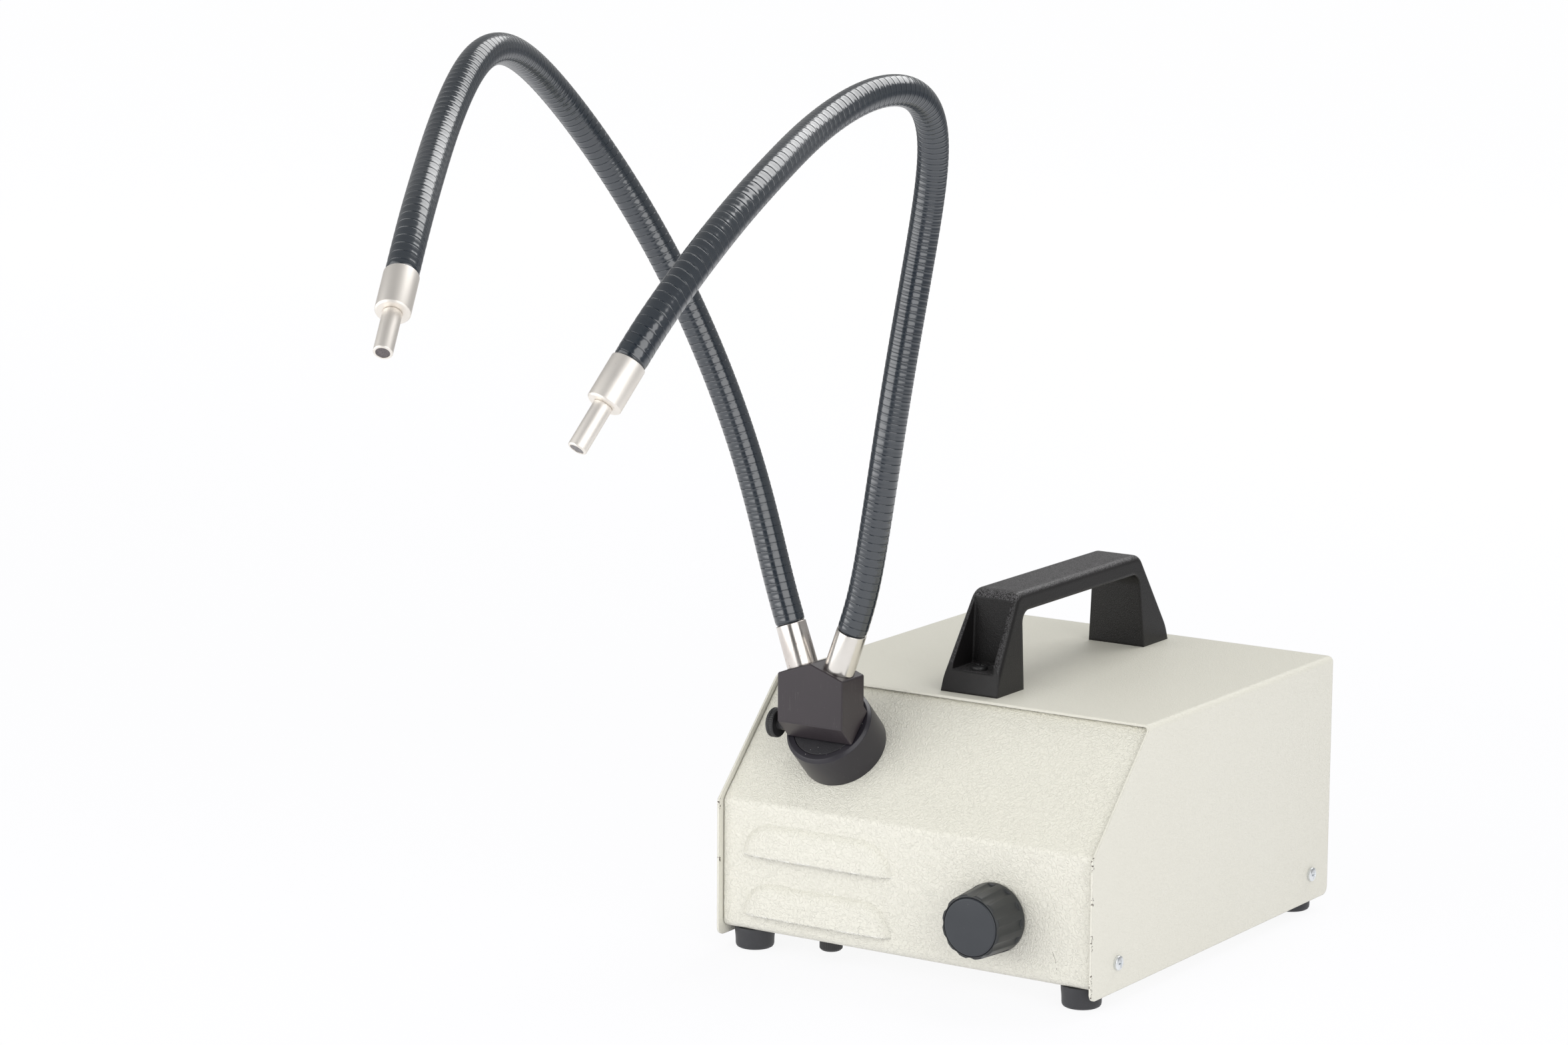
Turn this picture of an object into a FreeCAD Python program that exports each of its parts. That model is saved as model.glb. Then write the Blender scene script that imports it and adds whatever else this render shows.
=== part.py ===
# Fibre optic illuminator: a sheet-metal lamp housing with a dimmer knob and a carrying handle,
# and a plug-in light guide that splits into two self-supporting goosenecks.
# Millimetres. +X is to the right when facing the panel, +Y to the rear, +Z up.
# The origin is on the bench, under the middle of the housing.
import FreeCAD, Part
import math
import operator
import os
import Sketcher
from FreeCAD import Placement, Rotation, Vector

document = FreeCAD.newDocument("illuminator")

DRIVING = {
    # cover: one sheet bent into a top and two sides
    "boxWidth": 226, "boxDepth": 260, "boxHeight": 132, "frontHeight": 73.4, "slopeRun": 57.3,
    "coverSheet": 1.2, "coverBend": 3.2, "sideCorner": 4.5, "frontCorner": 1.5,
    # chassis: one sheet bent into sloped panel, front, base and rear wall
    "chassisSheet": 1.5, "panelInset": 3.8, "slopeInset": 2.6, "baseLift": 4.3, "rearInset": 3.8,
    "sideGap": 0.6, "topGap": 0.3, "chassisBend": 4.5, "flangeHeight": 20, "flangeSetback": 14,
    # louvres pressed out of the front
    "louvreInset": 14.2, "louvreLength": 91.5, "louvreTall": 18, "louvreOut": 3.7,
    "louvreLow": 13.6, "louvrePitch": 32.1, "louvreRim": 6, "louvreTilt": 0.7,
    # cover screws and feet
    "coverScrewFront": 26.5, "coverScrewRear": 20.4, "coverScrewRise": 15,
    "screwHead": 3.8, "screwHeadTall": 2.5, "screwShank": 2, "screwLong": 8, "fit": 0.05,
    "footClear": 7.2, "footTop": 10.7, "footTip": 9.5, "footRound": 1.6,
    "footSide": 13.9, "footEnd": 15.5, "footScrewHead": 4.2,
    # carrying handle
    "handleLength": 183, "handleY": 27.5, "handleBase": 34.3, "handleTop": 27.5, "handleTall": 51,
    "handleLeg": 27, "handleKnee": 15, "handleLean": 3.8, "handleShoulder": 26, "gripThick": 10,
    "handleRound": 3.5, "shoulderRound": 9, "fingerRound": 7, "fingerLean": 2,
    "pocketFloor": 11.5, "pocketBase": 24.6, "pocketHead": 22, "pocketTop": 49,
    "pocketDeep": 23.6,
    "handleScrewInset": 10.5, "handleScrewShank": 2.5, "handleScrewHead": 4.3,
    # dimmer
    "knobInset": 58.6, "knobRise": 34.9, "knobBack": 18.3, "knobFace": 16.8, "knobLong": 23.4,
    "knobGap": 1, "knobRound": 1.2, "knobWell": 5.2, "fluteRadius": 4.6, "fluteDeep": 1,
    "fluteStart": 2.6, "fluteCount": 12, "capRadius": 15.3, "capThick": 1.4, "capSink": 0.8,
    "shaftRadius": 3, "shaftGrip": 16, "bushingRadius": 4.6, "bushingLong": 5,
    "potRadius": 12, "potDeep": 13, "nutFlats": 12, "nutThick": 2.2,
    # collar on the sloped panel, and the bush that turns in it
    "collarInset": 57.8, "collarUp": 43.7, "collarRadius": 23.7, "collarTall": 22.5,
    "collarChamfer": 1.6, "spigotRadius": 15, "spigotLong": 10, "ringRadius": 21, "ringThick": 5,
    "bushFlange": 19, "bushFlangeThick": 2, "bushRadius": 12, "bushLong": 27,
    # light guide: plug, elbow block and thumb screw
    "plugRadius": 8, "plugLong": 34, "plugGrip": 8, "plugBundle": 4.8, "blockGap": 0.4,
    "blockWidth": 39.6, "blockDepth": 21.4, "blockReach": 13.9, "blockSide": 25.5, "roofRise": 7,
    "blockChamfer": 0.5, "thumbAlong": -6.6, "thumbUp": 4.4, "thumbRadius": 7.8,
    "thumbThick": 4.5, "thumbNeck": 3.4, "thumbStandoff": 4.5, "thumbStem": 2, "thumbStemLong": 10,
    # ferrules at the foot of each gooseneck
    "ferruleOffset": 11.2, "ferruleFoot": 8.2, "ferruleHead": 7.95, "ferruleLong": 22.6,
    "ferruleBore": 6.5, "ferruleSpigot": 5.6, "ferruleSpigotLong": 8, "ferruleThroat": 3.6,
    # goosenecks
    "hoseRadius": 7.8, "hoseStem": 14, "firstRun": 26, "domeRadius": 7.3, "cupGap": 0.3,
    "rimSetback": 2.4, "shoulderSetback": 2, "jointStraight": 8,
    # tips
    "tipRadius": 8.4, "tipLong": 23, "tipChamfer": 0.8, "tipStem": 10, "nozzleRadius": 4.6,
    "nozzleLong": 24, "nozzleShank": 4.3, "nozzleStem": 12, "nozzleBevel": 0.5,
    "bundleRadius": 3.4, "bundleSink": 0.3, "bundleLong": 20,
    # lamp module behind the collar
    "lampDrop": 20, "trayWidth": 62, "trayHalf": 30, "traySheet": 1.5, "trayToe": 17,
    "reflectorRadius": 25, "reflectorDeep": 18, "reflectorWall": 1.2, "reflectorNeck": 6.5,
    "reflectorNeckLong": 6, "filterRadius": 24, "filterThick": 2.5, "filterRim": 2.2,
    "capsuleRadius": 5, "capsuleLong": 15, "socketWidth": 18, "socketDeep": 14,
    "socketRound": 1.5,
    "trayScrewAside": 2.2, "trayScrewY": 18, "trayScrewHead": 6.1, "trayScrewTall": 7,
    "trayScrewRound": 1.2, "trayScrewLong": 7,
    # fan
    "fanInset": 58, "fanZ": 76, "fanSize": 60, "fanDeep": 20, "fanBore": 28.5, "fanHub": 12,
    "fanTip": 27.6, "fanHole": 25, "fanScrewShank": 1.9, "bladeCount": 7, "bladeChord": 13,
    "bladeThick": 1.2, "bladePitch": 38, "guardWire": 0.8, "fanScrewLong": 12,
    "hubGap": 4, "motorThick": 3, "strutHalf": 1.5, "strutThick": 2.5, "fanRound": 3,
    # mains inlet with a fuse drawer
    "inletInset": 55, "inletZ": 46, "inletWide": 50, "inletTall": 42, "inletFlange": 2.6,
    "inletBodyWide": 29, "inletBodyTall": 35, "inletBodyDeep": 25, "recessWide": 24.4,
    "recessTall": 16.6, "recessDeep": 17, "recessRise": 6, "pinDeep": 13, "drawerWide": 22,
    "drawerTall": 8, "drawerDeep": 18, "drawerDrop": 11, "drawerWall": 2,
    "inletHole": 20, "inletRound": 3, "inletScrewLong": 7.5, "recessCorner": 4.5,
    "pinHalfWide": 1, "pinHalfTall": 2, "pullHalf": 4, "pullTall": 1, "pullOut": 0.9,
    # transformer
    "coreInset": 61, "coreY": 52, "coreWide": 66, "coreTall": 57, "coreStack": 34, "coreLimb": 11,
    "windingOver": 8, "windingGap": 0.3, "windingRound": 3, "strapSheet": 1.5, "strapFoot": 14,
    "strapScrewLong": 4,
    # dimmer board
    "boardInset": 55, "boardY": -72, "boardWide": 84, "boardLong": 60, "boardThick": 1.6,
    "spacerTall": 8, "spacerRadius": 3, "spacerInset": 5, "sinkWide": 44, "sinkLong": 22,
    "sinkTall": 26, "sinkBase": 3, "finThick": 1.4, "finCount": 6, "sinkBack": 4, "spacerTip": 1.5,
    # shared by several pieces: a fine bevel, and the room left at the bottom of a bore
    "bevel": 0.6, "endGap": 0.5,
}

# Route of each gooseneck beyond its first run, from where it leaves its ferrule.
ROUTES = {
    "left": [(-21, -3, 76), (-38, -13, 133), (-58, -29, 189), (-77, -53, 239), (-85, -89, 279),
             (-76, -140, 306), (-68, -179, 304), (-54, -221, 276), (-34, -259, 258),
             (-10, -302, 240), (1, -327, 217)],
    "right": [(22, -6, 87), (31, -3, 151), (38, 6, 213), (50, -3, 261), (54, -29, 285),
              (49, -65, 286), (50, -114, 273), (70, -178, 261), (80, -236, 241),
              (82, -293, 206), (78, -311, 185)],
}
STRETCHES = ("root", "lower", "upper", "fore", "tip")
# Each gooseneck bends in the middle of every third run, counted from the ferrule.
BENDING_RUNS = [3 * i + 1 for i in range(len(STRETCHES) - 1)]
# Digits kept of a sine or cosine that goes into an expression.
DIGITS = 6

sheet = document.addObject("Spreadsheet::Sheet", "Sizes")
for row, (alias, value) in enumerate(DRIVING.items(), start=1):
    sheet.set(f"A{row}", alias)
    sheet.set(f"B{row}", str(value))
    sheet.setAlias(f"B{row}", alias)
document.recompute()

OPERATIONS = {"+": operator.add, "-": operator.sub, "*": operator.mul, "/": operator.truediv}


# A number together with the expression that gives it from the sheet's cells.
class Size:
    def __init__(self, number, text):
        self.number = number
        self.text = text

    def __add__(self, other):
        return joined(self, "+", other)

    def __radd__(self, other):
        return joined(other, "+", self)

    def __sub__(self, other):
        return joined(self, "-", other)

    def __rsub__(self, other):
        return joined(other, "-", self)

    def __mul__(self, other):
        return joined(self, "*", other)

    def __rmul__(self, other):
        return joined(other, "*", self)

    def __truediv__(self, other):
        return joined(self, "/", other)

    def __neg__(self):
        return joined(-1, "*", self)


def as_size(value):
    return value if isinstance(value, Size) else Size(float(value), repr(float(value)))


def joined(left, sign, right):
    left, right = as_size(left), as_size(right)
    number = OPERATIONS[sign](left.number, right.number)
    return Size(number, f"({left.text} {sign} {right.text})")


def root(value):
    return Size(math.sqrt(value.number), f"sqrt({value.text})")


def size(alias):
    return Size(float(sheet.get(alias)), f"Sizes.{alias}")


def bind(thing, prop, value):
    thing.setExpression(prop, as_size(value).text)


# ---- shared places ----
wall = size("chassisSheet")
front = -size("boxDepth") / 2
rear = size("boxDepth") / 2
cover_foot = size("footClear")
cover_top = cover_foot + size("boxHeight")
under_top = cover_top - size("coverSheet")
slope_foot = cover_foot + size("frontHeight")
slope_rise = size("boxHeight") - size("frontHeight")
slope_length = root(size("slopeRun") * size("slopeRun") + slope_rise * slope_rise)
slope_sin = size("slopeRun") / slope_length
slope_cos = slope_rise / slope_length
panel_y = front + size("panelInset")
rear_y = rear - size("rearInset")
base_z = cover_foot + size("baseLift")
floor_z = base_z + wall
chassis_width = size("boxWidth") - 2 * (size("coverSheet") + size("sideGap"))
left_side, right_side = -size("boxWidth") / 2, size("boxWidth") / 2
collar_x = left_side + size("collarInset")
fan_x = left_side + size("fanInset")
knob_x = right_side - size("knobInset")
inlet_x = right_side - size("inletInset")
core_x = right_side - size("coreInset")
board_x = right_side - size("boardInset")
# The beam axis leaves the sloped panel square to it; heights along it count from the panel.
beam_turn = math.degrees(math.atan2(slope_cos.number, slope_sin.number))
beam_y = front + slope_cos * size("slopeInset") + slope_sin * size("collarUp")
beam_z = slope_foot - slope_sin * size("slopeInset") + slope_cos * size("collarUp")


def along_beam(height):
    return beam_y - slope_cos * height, beam_z + slope_sin * height


# ---- helpers ----
subparts = []


def place(thing, x=0, y=0, z=0, axis=Vector(1, 0, 0), turn=0.0):
    thing.Placement = Placement(Vector(0, 0, 0), Rotation(axis, turn))
    for letter, value in zip("xyz", (x, y, z)):
        bind(thing, f".Placement.Base.{letter}", value)


def part(thing, label):
    thing.Label = label
    subparts.append(thing)
    return thing


def new_body(name):
    return document.addObject("PartDesign::Body", name)


def new_sketch(body, plane, offset=0, at=None):
    sketch = body.newObject("Sketcher::SketchObject", f"{body.Name}_{plane}")
    origin = next(o for o in body.Origin.OriginFeatures if o.Role == f"{plane}_Plane")
    sketch.AttachmentSupport = (origin, [""])
    sketch.MapMode = "FlatFace"
    if at:
        sketch.AttachmentOffset = at
    else:
        bind(sketch, ".AttachmentOffset.Base.z", offset)
    return sketch


def pin_point(sketch, geometry, point, across, up):
    for kind, value in (("DistanceX", across), ("DistanceY", up)):
        value = as_size(value)
        rule = Sketcher.Constraint(kind, -1, 1, geometry, point, value.number)
        index = sketch.addConstraint(rule)
        bind(sketch, f"Constraints[{index}]", value)


def polygon(sketch, corners):
    corners = [(as_size(a), as_size(b)) for a, b in corners]
    spots = [Vector(a.number, b.number, 0) for a, b in corners]
    count = len(spots)
    first = sketch.GeometryCount
    for i in range(count):
        sketch.addGeometry(Part.LineSegment(spots[i], spots[(i + 1) % count]), False)
    for i in range(count):
        following = first + (i + 1) % count
        sketch.addConstraint(Sketcher.Constraint("Coincident", first + i, 2, following, 1))
        pin_point(sketch, first + i, 1, *corners[i])


def rectangle(sketch, left, bottom, right, top):
    polygon(sketch, [(left, bottom), (right, bottom), (right, top), (left, top)])


def circle(sketch, across, up, radius):
    across, up, radius = as_size(across), as_size(up), as_size(radius)
    centre = Vector(across.number, up.number, 0)
    index = sketch.addGeometry(Part.Circle(centre, Vector(0, 0, 1), radius.number), False)
    pin_point(sketch, index, 3, across, up)
    rule = sketch.addConstraint(Sketcher.Constraint("Radius", index, radius.number))
    bind(sketch, f"Constraints[{rule}]", radius)


def extrude(body, kind, sketch, length=None, both=False, back=False, through=False):
    feature = body.newObject(f"PartDesign::{kind}", f"{body.Name}_{kind}")
    feature.Profile = sketch
    if both:
        feature.SideType = "Symmetric"
    if through:
        feature.Type = "ThroughAll"
    else:
        bind(feature, "Length", length)
    feature.Reversed = back
    sketch.Visibility = False
    return feature


def pad(body, sketch, length, both=False, back=False):
    return extrude(body, "Pad", sketch, length, both, back)


def cut(body, sketch, length=None, both=True, back=False):
    document.recompute()
    before = body.Shape.Volume
    feature = extrude(body, "Pocket", sketch, length, both, back, through=length is None)
    document.recompute()
    if body.Shape.Volume >= before - 1e-6:
        raise RuntimeError(f"{feature.Name} removes nothing")
    return feature


def revolve(body, profile):
    sketch = new_sketch(body, "XZ")
    polygon(sketch, profile)
    feature = body.newObject("PartDesign::Revolution", f"{body.Name}_Revolution")
    feature.Profile = sketch
    feature.ReferenceAxis = (sketch, ["V_Axis"])
    feature.Angle = 360
    return feature


# A turned piece: its profile is a list of radius and height, round the body's own Z axis.
def turned(name, profile):
    body = new_body(name)
    revolve(body, profile)
    return body


def dress(body, kind, value, keep):
    document.recompute()
    base = body.Tip
    edges = [f"Edge{i}" for i, edge in enumerate(base.Shape.Edges, start=1) if keep(edge)]
    if not edges:
        raise RuntimeError(f"{body.Name} has no edge to {kind}")
    feature = body.newObject(f"PartDesign::{kind}", f"{body.Name}_{kind}")
    feature.Base = (base, edges)
    bind(feature, "Radius" if kind == "Fillet" else "Size", value)
    return feature


def same(a, b):
    return abs(a - as_size(b).number) < 1e-4


# Tests for edges: each takes the edge's fixed coordinates, or its height and radius.
def edge_at(**fixed):
    def test(edge):
        return all(
            same(getattr(v.Point, letter), value)
            for letter, value in fixed.items()
            for v in edge.Vertexes
        )
    return test


def rim_at(height, radius):
    def test(edge):
        curve = edge.Curve
        return (
            isinstance(curve, Part.Circle)
            and same(curve.Radius, radius)
            and same(curve.Center.z, height)
        )
    return test


def copies(label, body, places):
    document.recompute()
    group = document.addObject("Part::Feature", label)
    solids = [body.Shape.transformed(p.toMatrix()) for p in places]
    group.Shape = Part.makeCompound(solids)
    return part(group, label)


def at(x, y, z, axis=Vector(1, 0, 0), turn=0.0):
    spot = [as_size(v).number for v in (x, y, z)]
    return Placement(Vector(*spot), Rotation(axis, turn))


# ---- housing ----
def make_cover():
    body = new_body("cover")
    half, skin = right_side, size("coverSheet")
    side = new_sketch(body, "YZ")
    crest = front + size("slopeRun")
    polygon(side, [(front, cover_foot), (front, slope_foot), (crest, cover_top),
                   (rear, cover_top), (rear, cover_foot)])
    pad(body, side, size("boxWidth"), both=True)
    dress(body, "Fillet", size("sideCorner"), lambda e: edge_at(y=front, z=cover_foot)(e)
          or edge_at(y=rear, z=cover_foot)(e))
    dress(body, "Fillet", size("frontCorner"), edge_at(y=front, z=slope_foot))
    dress(body, "Fillet", size("coverBend"), lambda e: edge_at(x=half, z=cover_top)(e)
          or edge_at(x=-half, z=cover_top)(e))
    inside = new_sketch(body, "XZ")
    rectangle(inside, skin - half, cover_foot - 1, half - skin, under_top)
    cut(body, inside)
    dress(body, "Fillet", size("coverBend") - skin, lambda e: edge_at(x=half - skin, z=under_top)(e)
          or edge_at(x=skin - half, z=under_top)(e))
    side_holes = new_sketch(body, "YZ")
    for y in cover_screw_rows():
        circle(side_holes, y, cover_foot + size("coverScrewRise"), size("screwShank") + size("fit") * 4)
    cut(body, side_holes)
    top_holes = new_sketch(body, "XY", cover_top)
    for y in handle_screw_rows():
        circle(top_holes, 0, y, size("handleScrewShank") + size("fit") * 4)
    cut(body, top_holes, skin * 4)
    return part(body, "cover")


def cover_screw_rows():
    return front + size("coverScrewFront"), rear - size("coverScrewRear")


def handle_screw_rows():
    reach = size("handleLength") / 2 - size("handleScrewInset")
    return size("handleY") - reach, size("handleY") + reach


def foot_spots():
    across = size("boxWidth") / 2 - size("footSide")
    along = size("boxDepth") / 2 - size("footEnd")
    return [(i * across, j * along) for i in (-1, 1) for j in (-1, 1)]


def spacer_spots():
    across = size("boardWide") / 2 - size("spacerInset")
    along = size("boardLong") / 2 - size("spacerInset")
    return [(board_x + i * across, size("boardY") + j * along)
            for i in (-1, 1) for j in (-1, 1)]


def strap_spots():
    reach = size("coreWide") / 2 + size("strapFoot") / 2 + size("strapSheet")
    return [(core_x + side * reach, size("coreY")) for side in (-1, 1)]


def fan_spots():
    return [(fan_x + i * size("fanHole"), size("fanZ") + j * size("fanHole"))
            for i in (-1, 1) for j in (-1, 1)]


def inlet_spots():
    return [(inlet_x + i * size("inletHole"), size("inletZ")) for i in (-1, 1)]


def tray_screw_spot():
    return collar_x + size("trayScrewAside"), front + size("trayScrewY")


def make_chassis():
    body = new_body("chassis")
    half = chassis_width / 2
    slope_in = size("slopeInset") + wall
    bend_z = slope_foot + (slope_cos * size("panelInset") - size("slopeInset")) / slope_sin
    bend_in = slope_foot + (slope_cos * (size("panelInset") + wall) - slope_in) / slope_sin
    # the square upper corners stop short of the cover's rounded ones
    top_z = under_top - size("topGap") - (size("coverBend") - size("coverSheet")) * (1 - math.sqrt(0.5))
    climb = slope_sin * (top_z - slope_foot)
    lip_y = front + (size("slopeInset") + climb) / slope_cos
    lip_in = front + (slope_in + climb) / slope_cos
    side = new_sketch(body, "YZ")
    polygon(side, [(rear_y, top_z), (rear_y, base_z), (panel_y, base_z), (panel_y, bend_z),
                   (lip_y, top_z), (lip_in, top_z), (panel_y + wall, bend_in),
                   (panel_y + wall, floor_z), (rear_y - wall, floor_z), (rear_y - wall, top_z)])
    pad(body, side, chassis_width, both=True)
    outer = [(panel_y, base_z), (rear_y, base_z), (panel_y, bend_z)]
    inner = [(panel_y + wall, floor_z), (rear_y - wall, floor_z), (panel_y + wall, bend_in)]
    for corners, radius in ((outer, size("chassisBend")), (inner, size("chassisBend") - wall)):
        dress(body, "Fillet", radius, lambda e: any(edge_at(y=y, z=z)(e) for y, z in corners))

    # flanges along the base that the cover screws bite into
    for start in (half - wall, -half):
        flange = new_sketch(body, "YZ", start)
        rectangle(flange, panel_y + size("flangeSetback"), base_z + wall / 2,
                  rear_y - size("flangeSetback"), base_z + size("flangeHeight"))
        pad(body, flange, wall)
    bites = new_sketch(body, "YZ")
    for y in cover_screw_rows():
        circle(bites, y, cover_foot + size("coverScrewRise"), size("screwShank") + size("fit"))
    cut(body, bites)

    add_louvres(body)

    knob_hole = new_sketch(body, "XZ", -panel_y)
    circle(knob_hole, knob_x, cover_foot + size("knobRise"), size("bushingRadius") + size("fit"))
    cut(body, knob_hole, wall * 4)

    beam = at(collar_x, beam_y, beam_z, turn=beam_turn)
    beam_hole = new_sketch(body, "XY", at=beam)
    circle(beam_hole, 0, 0, size("spigotRadius") + size("fit") * 2)
    cut(body, beam_hole, wall * 4)

    base_holes = new_sketch(body, "XY", base_z)
    for x, y in foot_spots() + spacer_spots() + strap_spots() + [tray_screw_spot()]:
        circle(base_holes, x, y, size("screwShank") + size("fit"))
    cut(body, base_holes, wall * 4)

    rear_holes = new_sketch(body, "XZ", -rear_y)
    circle(rear_holes, fan_x, size("fanZ"), size("fanBore"))
    for x, z in fan_spots():
        circle(rear_holes, x, z, size("fanScrewShank") + size("fit"))
    for x, z in inlet_spots():
        circle(rear_holes, x, z, size("fanScrewShank") + size("fit"))
    wide = size("inletBodyWide") / 2 + size("fit") * 4
    tall = size("inletBodyTall") / 2 + size("fit") * 4
    rectangle(rear_holes, inlet_x - wide, size("inletZ") - tall,
              inlet_x + wide, size("inletZ") + tall)
    cut(body, rear_holes, wall * 4)
    return part(body, "chassis")


# Section through a louvre, seen from the side: a nearly flat face above the cut, and an arc that
# meets it smoothly and runs into the panel. U runs to the rear from the panel's face, V up from
# the cut.
def louvre_section(body, x, low, tall, out, base):
    sketch = new_sketch(body, "YZ", at=at(panel_y, low, x))
    for letter, value in zip("xyz", (panel_y, low, x)):
        bind(sketch, f".AttachmentOffset.Base.{letter}", value)
    tilt, rim = size("louvreTilt"), size("louvreRim")
    spots = [(base - out + tilt, tall - rim), (base - out, as_size(0)), (base + wall / 2, as_size(0)),
             (base + wall / 2, tall), (as_size(base), tall)]
    points = [Vector(u.number, v.number, 0) for u, v in spots]
    for i in range(len(points) - 1):
        sketch.addGeometry(Part.LineSegment(points[i], points[i + 1]), False)
        pin_point(sketch, i, 1, *spots[i])
        if i > 0:
            sketch.addConstraint(Sketcher.Constraint("Coincident", i - 1, 2, i, 1))
    last = len(points) - 2
    pin_point(sketch, last, 2, *spots[-1])
    # the circle touches the flat face at its top end and passes through the rim
    rise = out - tilt
    flat = tall - rim
    radius = ((rise * rise + rim * rim) * root(tilt * tilt + flat * flat)
              / (2 * (rise * flat - rim * tilt)))
    chord = points[-1] - points[0]
    bulge = radius.number - math.sqrt(radius.number ** 2 - chord.Length ** 2 / 4)
    crest = (points[0] + points[-1]) / 2 + Vector(-chord.y, chord.x, 0).normalize() * bulge
    arc = sketch.addGeometry(Part.Arc(points[-1], crest, points[0]), False)
    sketch.addConstraint(Sketcher.Constraint("Coincident", last, 2, arc, 1))
    sketch.addConstraint(Sketcher.Constraint("Coincident", 0, 1, arc, 2))
    rule = sketch.addConstraint(Sketcher.Constraint("Radius", arc, radius.number))
    bind(sketch, f"Constraints[{rule}]", radius)
    return sketch


# A louvre is a straight swelling between two quarter-round ends. Pockets are cut against the
# sketch's normal, pads stand along it.
def louvre_swelling(body, low, tall, out, base, hollow):
    straight, turned_end = ("Pocket", "Groove") if hollow else ("Pad", "Revolution")
    start = left_side + size("louvreInset") + size("louvreTall")
    length = size("louvreLength") - 2 * size("louvreTall")
    sketch = louvre_section(body, start, low, tall, out, base)
    extrude(body, straight, sketch, length, back=hollow)
    for x, back in ((start, True), (start + length, False)):
        sketch = louvre_section(body, x, low, tall, out, base)
        end = body.newObject(f"PartDesign::{turned_end}", "louvre_end")
        end.Profile = sketch
        end.ReferenceAxis = (sketch, ["H_Axis"])
        end.Angle = 90
        end.Reversed = back
        sketch.Visibility = False
        document.recompute()


# Each louvre is lanced along its lower edge and swells out of the panel above the cut.
def add_louvres(body):
    tall, out = size("louvreTall"), size("louvreOut")
    for step in (0, 1):
        low = cover_foot + size("louvreLow") + step * size("louvrePitch")
        louvre_swelling(body, low, tall, out, as_size(0), False)
        louvre_swelling(body, low, tall - wall / 2, out, wall, True)


def make_screw(name, head, tall, shank, long):
    return turned(name, [(0, -long), (shank, -long), (shank, 0), (head, 0), (head, tall * 0.45),
                         (head * 0.8, tall * 0.9), (head * 0.45, tall), (0, tall)])


def make_cover_screws():
    screw = make_screw("cover_screw", size("screwHead"), size("screwHeadTall"),
                       size("screwShank"), size("screwLong"))
    out = size("boxWidth") / 2
    z = cover_foot + size("coverScrewRise")
    places = [at(side * out, y, z, Vector(0, 1, 0), side * 90)
              for side in (-1, 1) for y in cover_screw_rows()]
    copies("cover_screws", screw, places)


def make_feet():
    tall, bore = base_z, size("screwShank") + size("fit") * 4
    well = size("footScrewHead") + size("fit") * 8
    foot = turned("foot", [
        (bore, tall), (bore, tall * 0.45), (well, tall * 0.45), (well, 0),
        (size("footTip"), 0), (size("footTop"), tall * 0.8), (size("footTop"), tall)])
    dress(foot, "Fillet", size("footRound"), rim_at(0, size("footTip")))
    copies("feet", foot, [at(x, y, 0) for x, y in foot_spots()])
    screw = make_screw("foot_screw", size("footScrewHead"), size("screwHeadTall"),
                       size("screwShank"), tall * 0.55 + wall + 4)
    copies("foot_screws", screw, [at(x, y, tall * 0.45, turn=180) for x, y in foot_spots()])


def make_handle():
    body = new_body("handle")
    long, tall = size("handleLength"), size("handleTall")
    base, top = size("handleBase") / 2, size("handleTop") / 2
    section = new_sketch(body, "XZ")
    polygon(section, [(-base, 0), (base, 0), (top, tall), (-top, tall)])
    pad(body, section, long, both=True)
    ends = new_sketch(body, "YZ")
    for side in (-1, 1):
        knee, shoulder = long / 2 - size("handleLean"), long / 2 - size("handleShoulder")
        polygon(ends, [(side * long / 2, 0), (side * knee, size("handleKnee")),
                       (side * shoulder, tall), (side * shoulder, tall + 5),
                       (side * (long / 2 + 5), tall + 5), (side * (long / 2 + 5), 0)])
    cut(body, ends)
    dress(body, "Fillet", size("shoulderRound"), lambda e: is_shoulder(e, shoulder, tall))
    dress(body, "Fillet", size("handleRound"), lambda e: edge_at(x=top, z=tall)(e)
          or edge_at(x=-top, z=tall)(e))
    grip = new_sketch(body, "YZ")
    clear = long / 2 - size("handleLeg")
    under = tall - size("gripThick")
    narrow = clear - size("fingerLean")
    polygon(grip, [(-clear, -1), (clear, -1), (narrow, under), (-narrow, under)])
    cut(body, grip)
    dress(body, "Fillet", size("fingerRound"), lambda e: edge_at(y=narrow, z=under)(e)
          or edge_at(y=-narrow, z=under)(e))
    floor, head = size("pocketFloor"), size("pocketTop")
    for side in (-1, 1):
        mouth = new_sketch(body, "XZ", side * long / 2)
        wide, slim = size("pocketBase") / 2, size("pocketHead") / 2
        polygon(mouth, [(-wide, floor), (wide, floor), (slim, head), (-slim, head)])
        cut(body, mouth, size("pocketDeep") * 2)
    holes = new_sketch(body, "XY")
    reach = long / 2 - size("handleScrewInset")
    for side in (-1, 1):
        circle(holes, 0, side * reach, size("handleScrewShank") + size("fit") * 4)
    cut(body, holes, floor * 2)
    place(body, 0, size("handleY"), cover_top)
    return part(body, "handle")


# Whether an edge runs along an axis, so that both its ends share the other two coordinates.
def runs_along(edge, letter):
    points = [v.Point for v in edge.Vertexes]
    others = [other for other in "xyz" if other != letter]
    return len(points) == 2 and all(
        abs(getattr(points[0], other) - getattr(points[1], other)) < 1e-4 for other in others)


def is_shoulder(edge, shoulder, tall):
    return runs_along(edge, "x") and all(
        same(abs(v.Point.y), shoulder) and same(v.Point.z, tall) for v in edge.Vertexes)


def make_handle_screws():
    screw = make_screw("handle_screw", size("handleScrewHead"), size("screwHeadTall"),
                       size("handleScrewShank"), size("pocketFloor") + size("coverSheet") + 5)
    copies("handle_screws", screw,
           [at(0, y, cover_top + size("pocketFloor")) for y in handle_screw_rows()])


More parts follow.
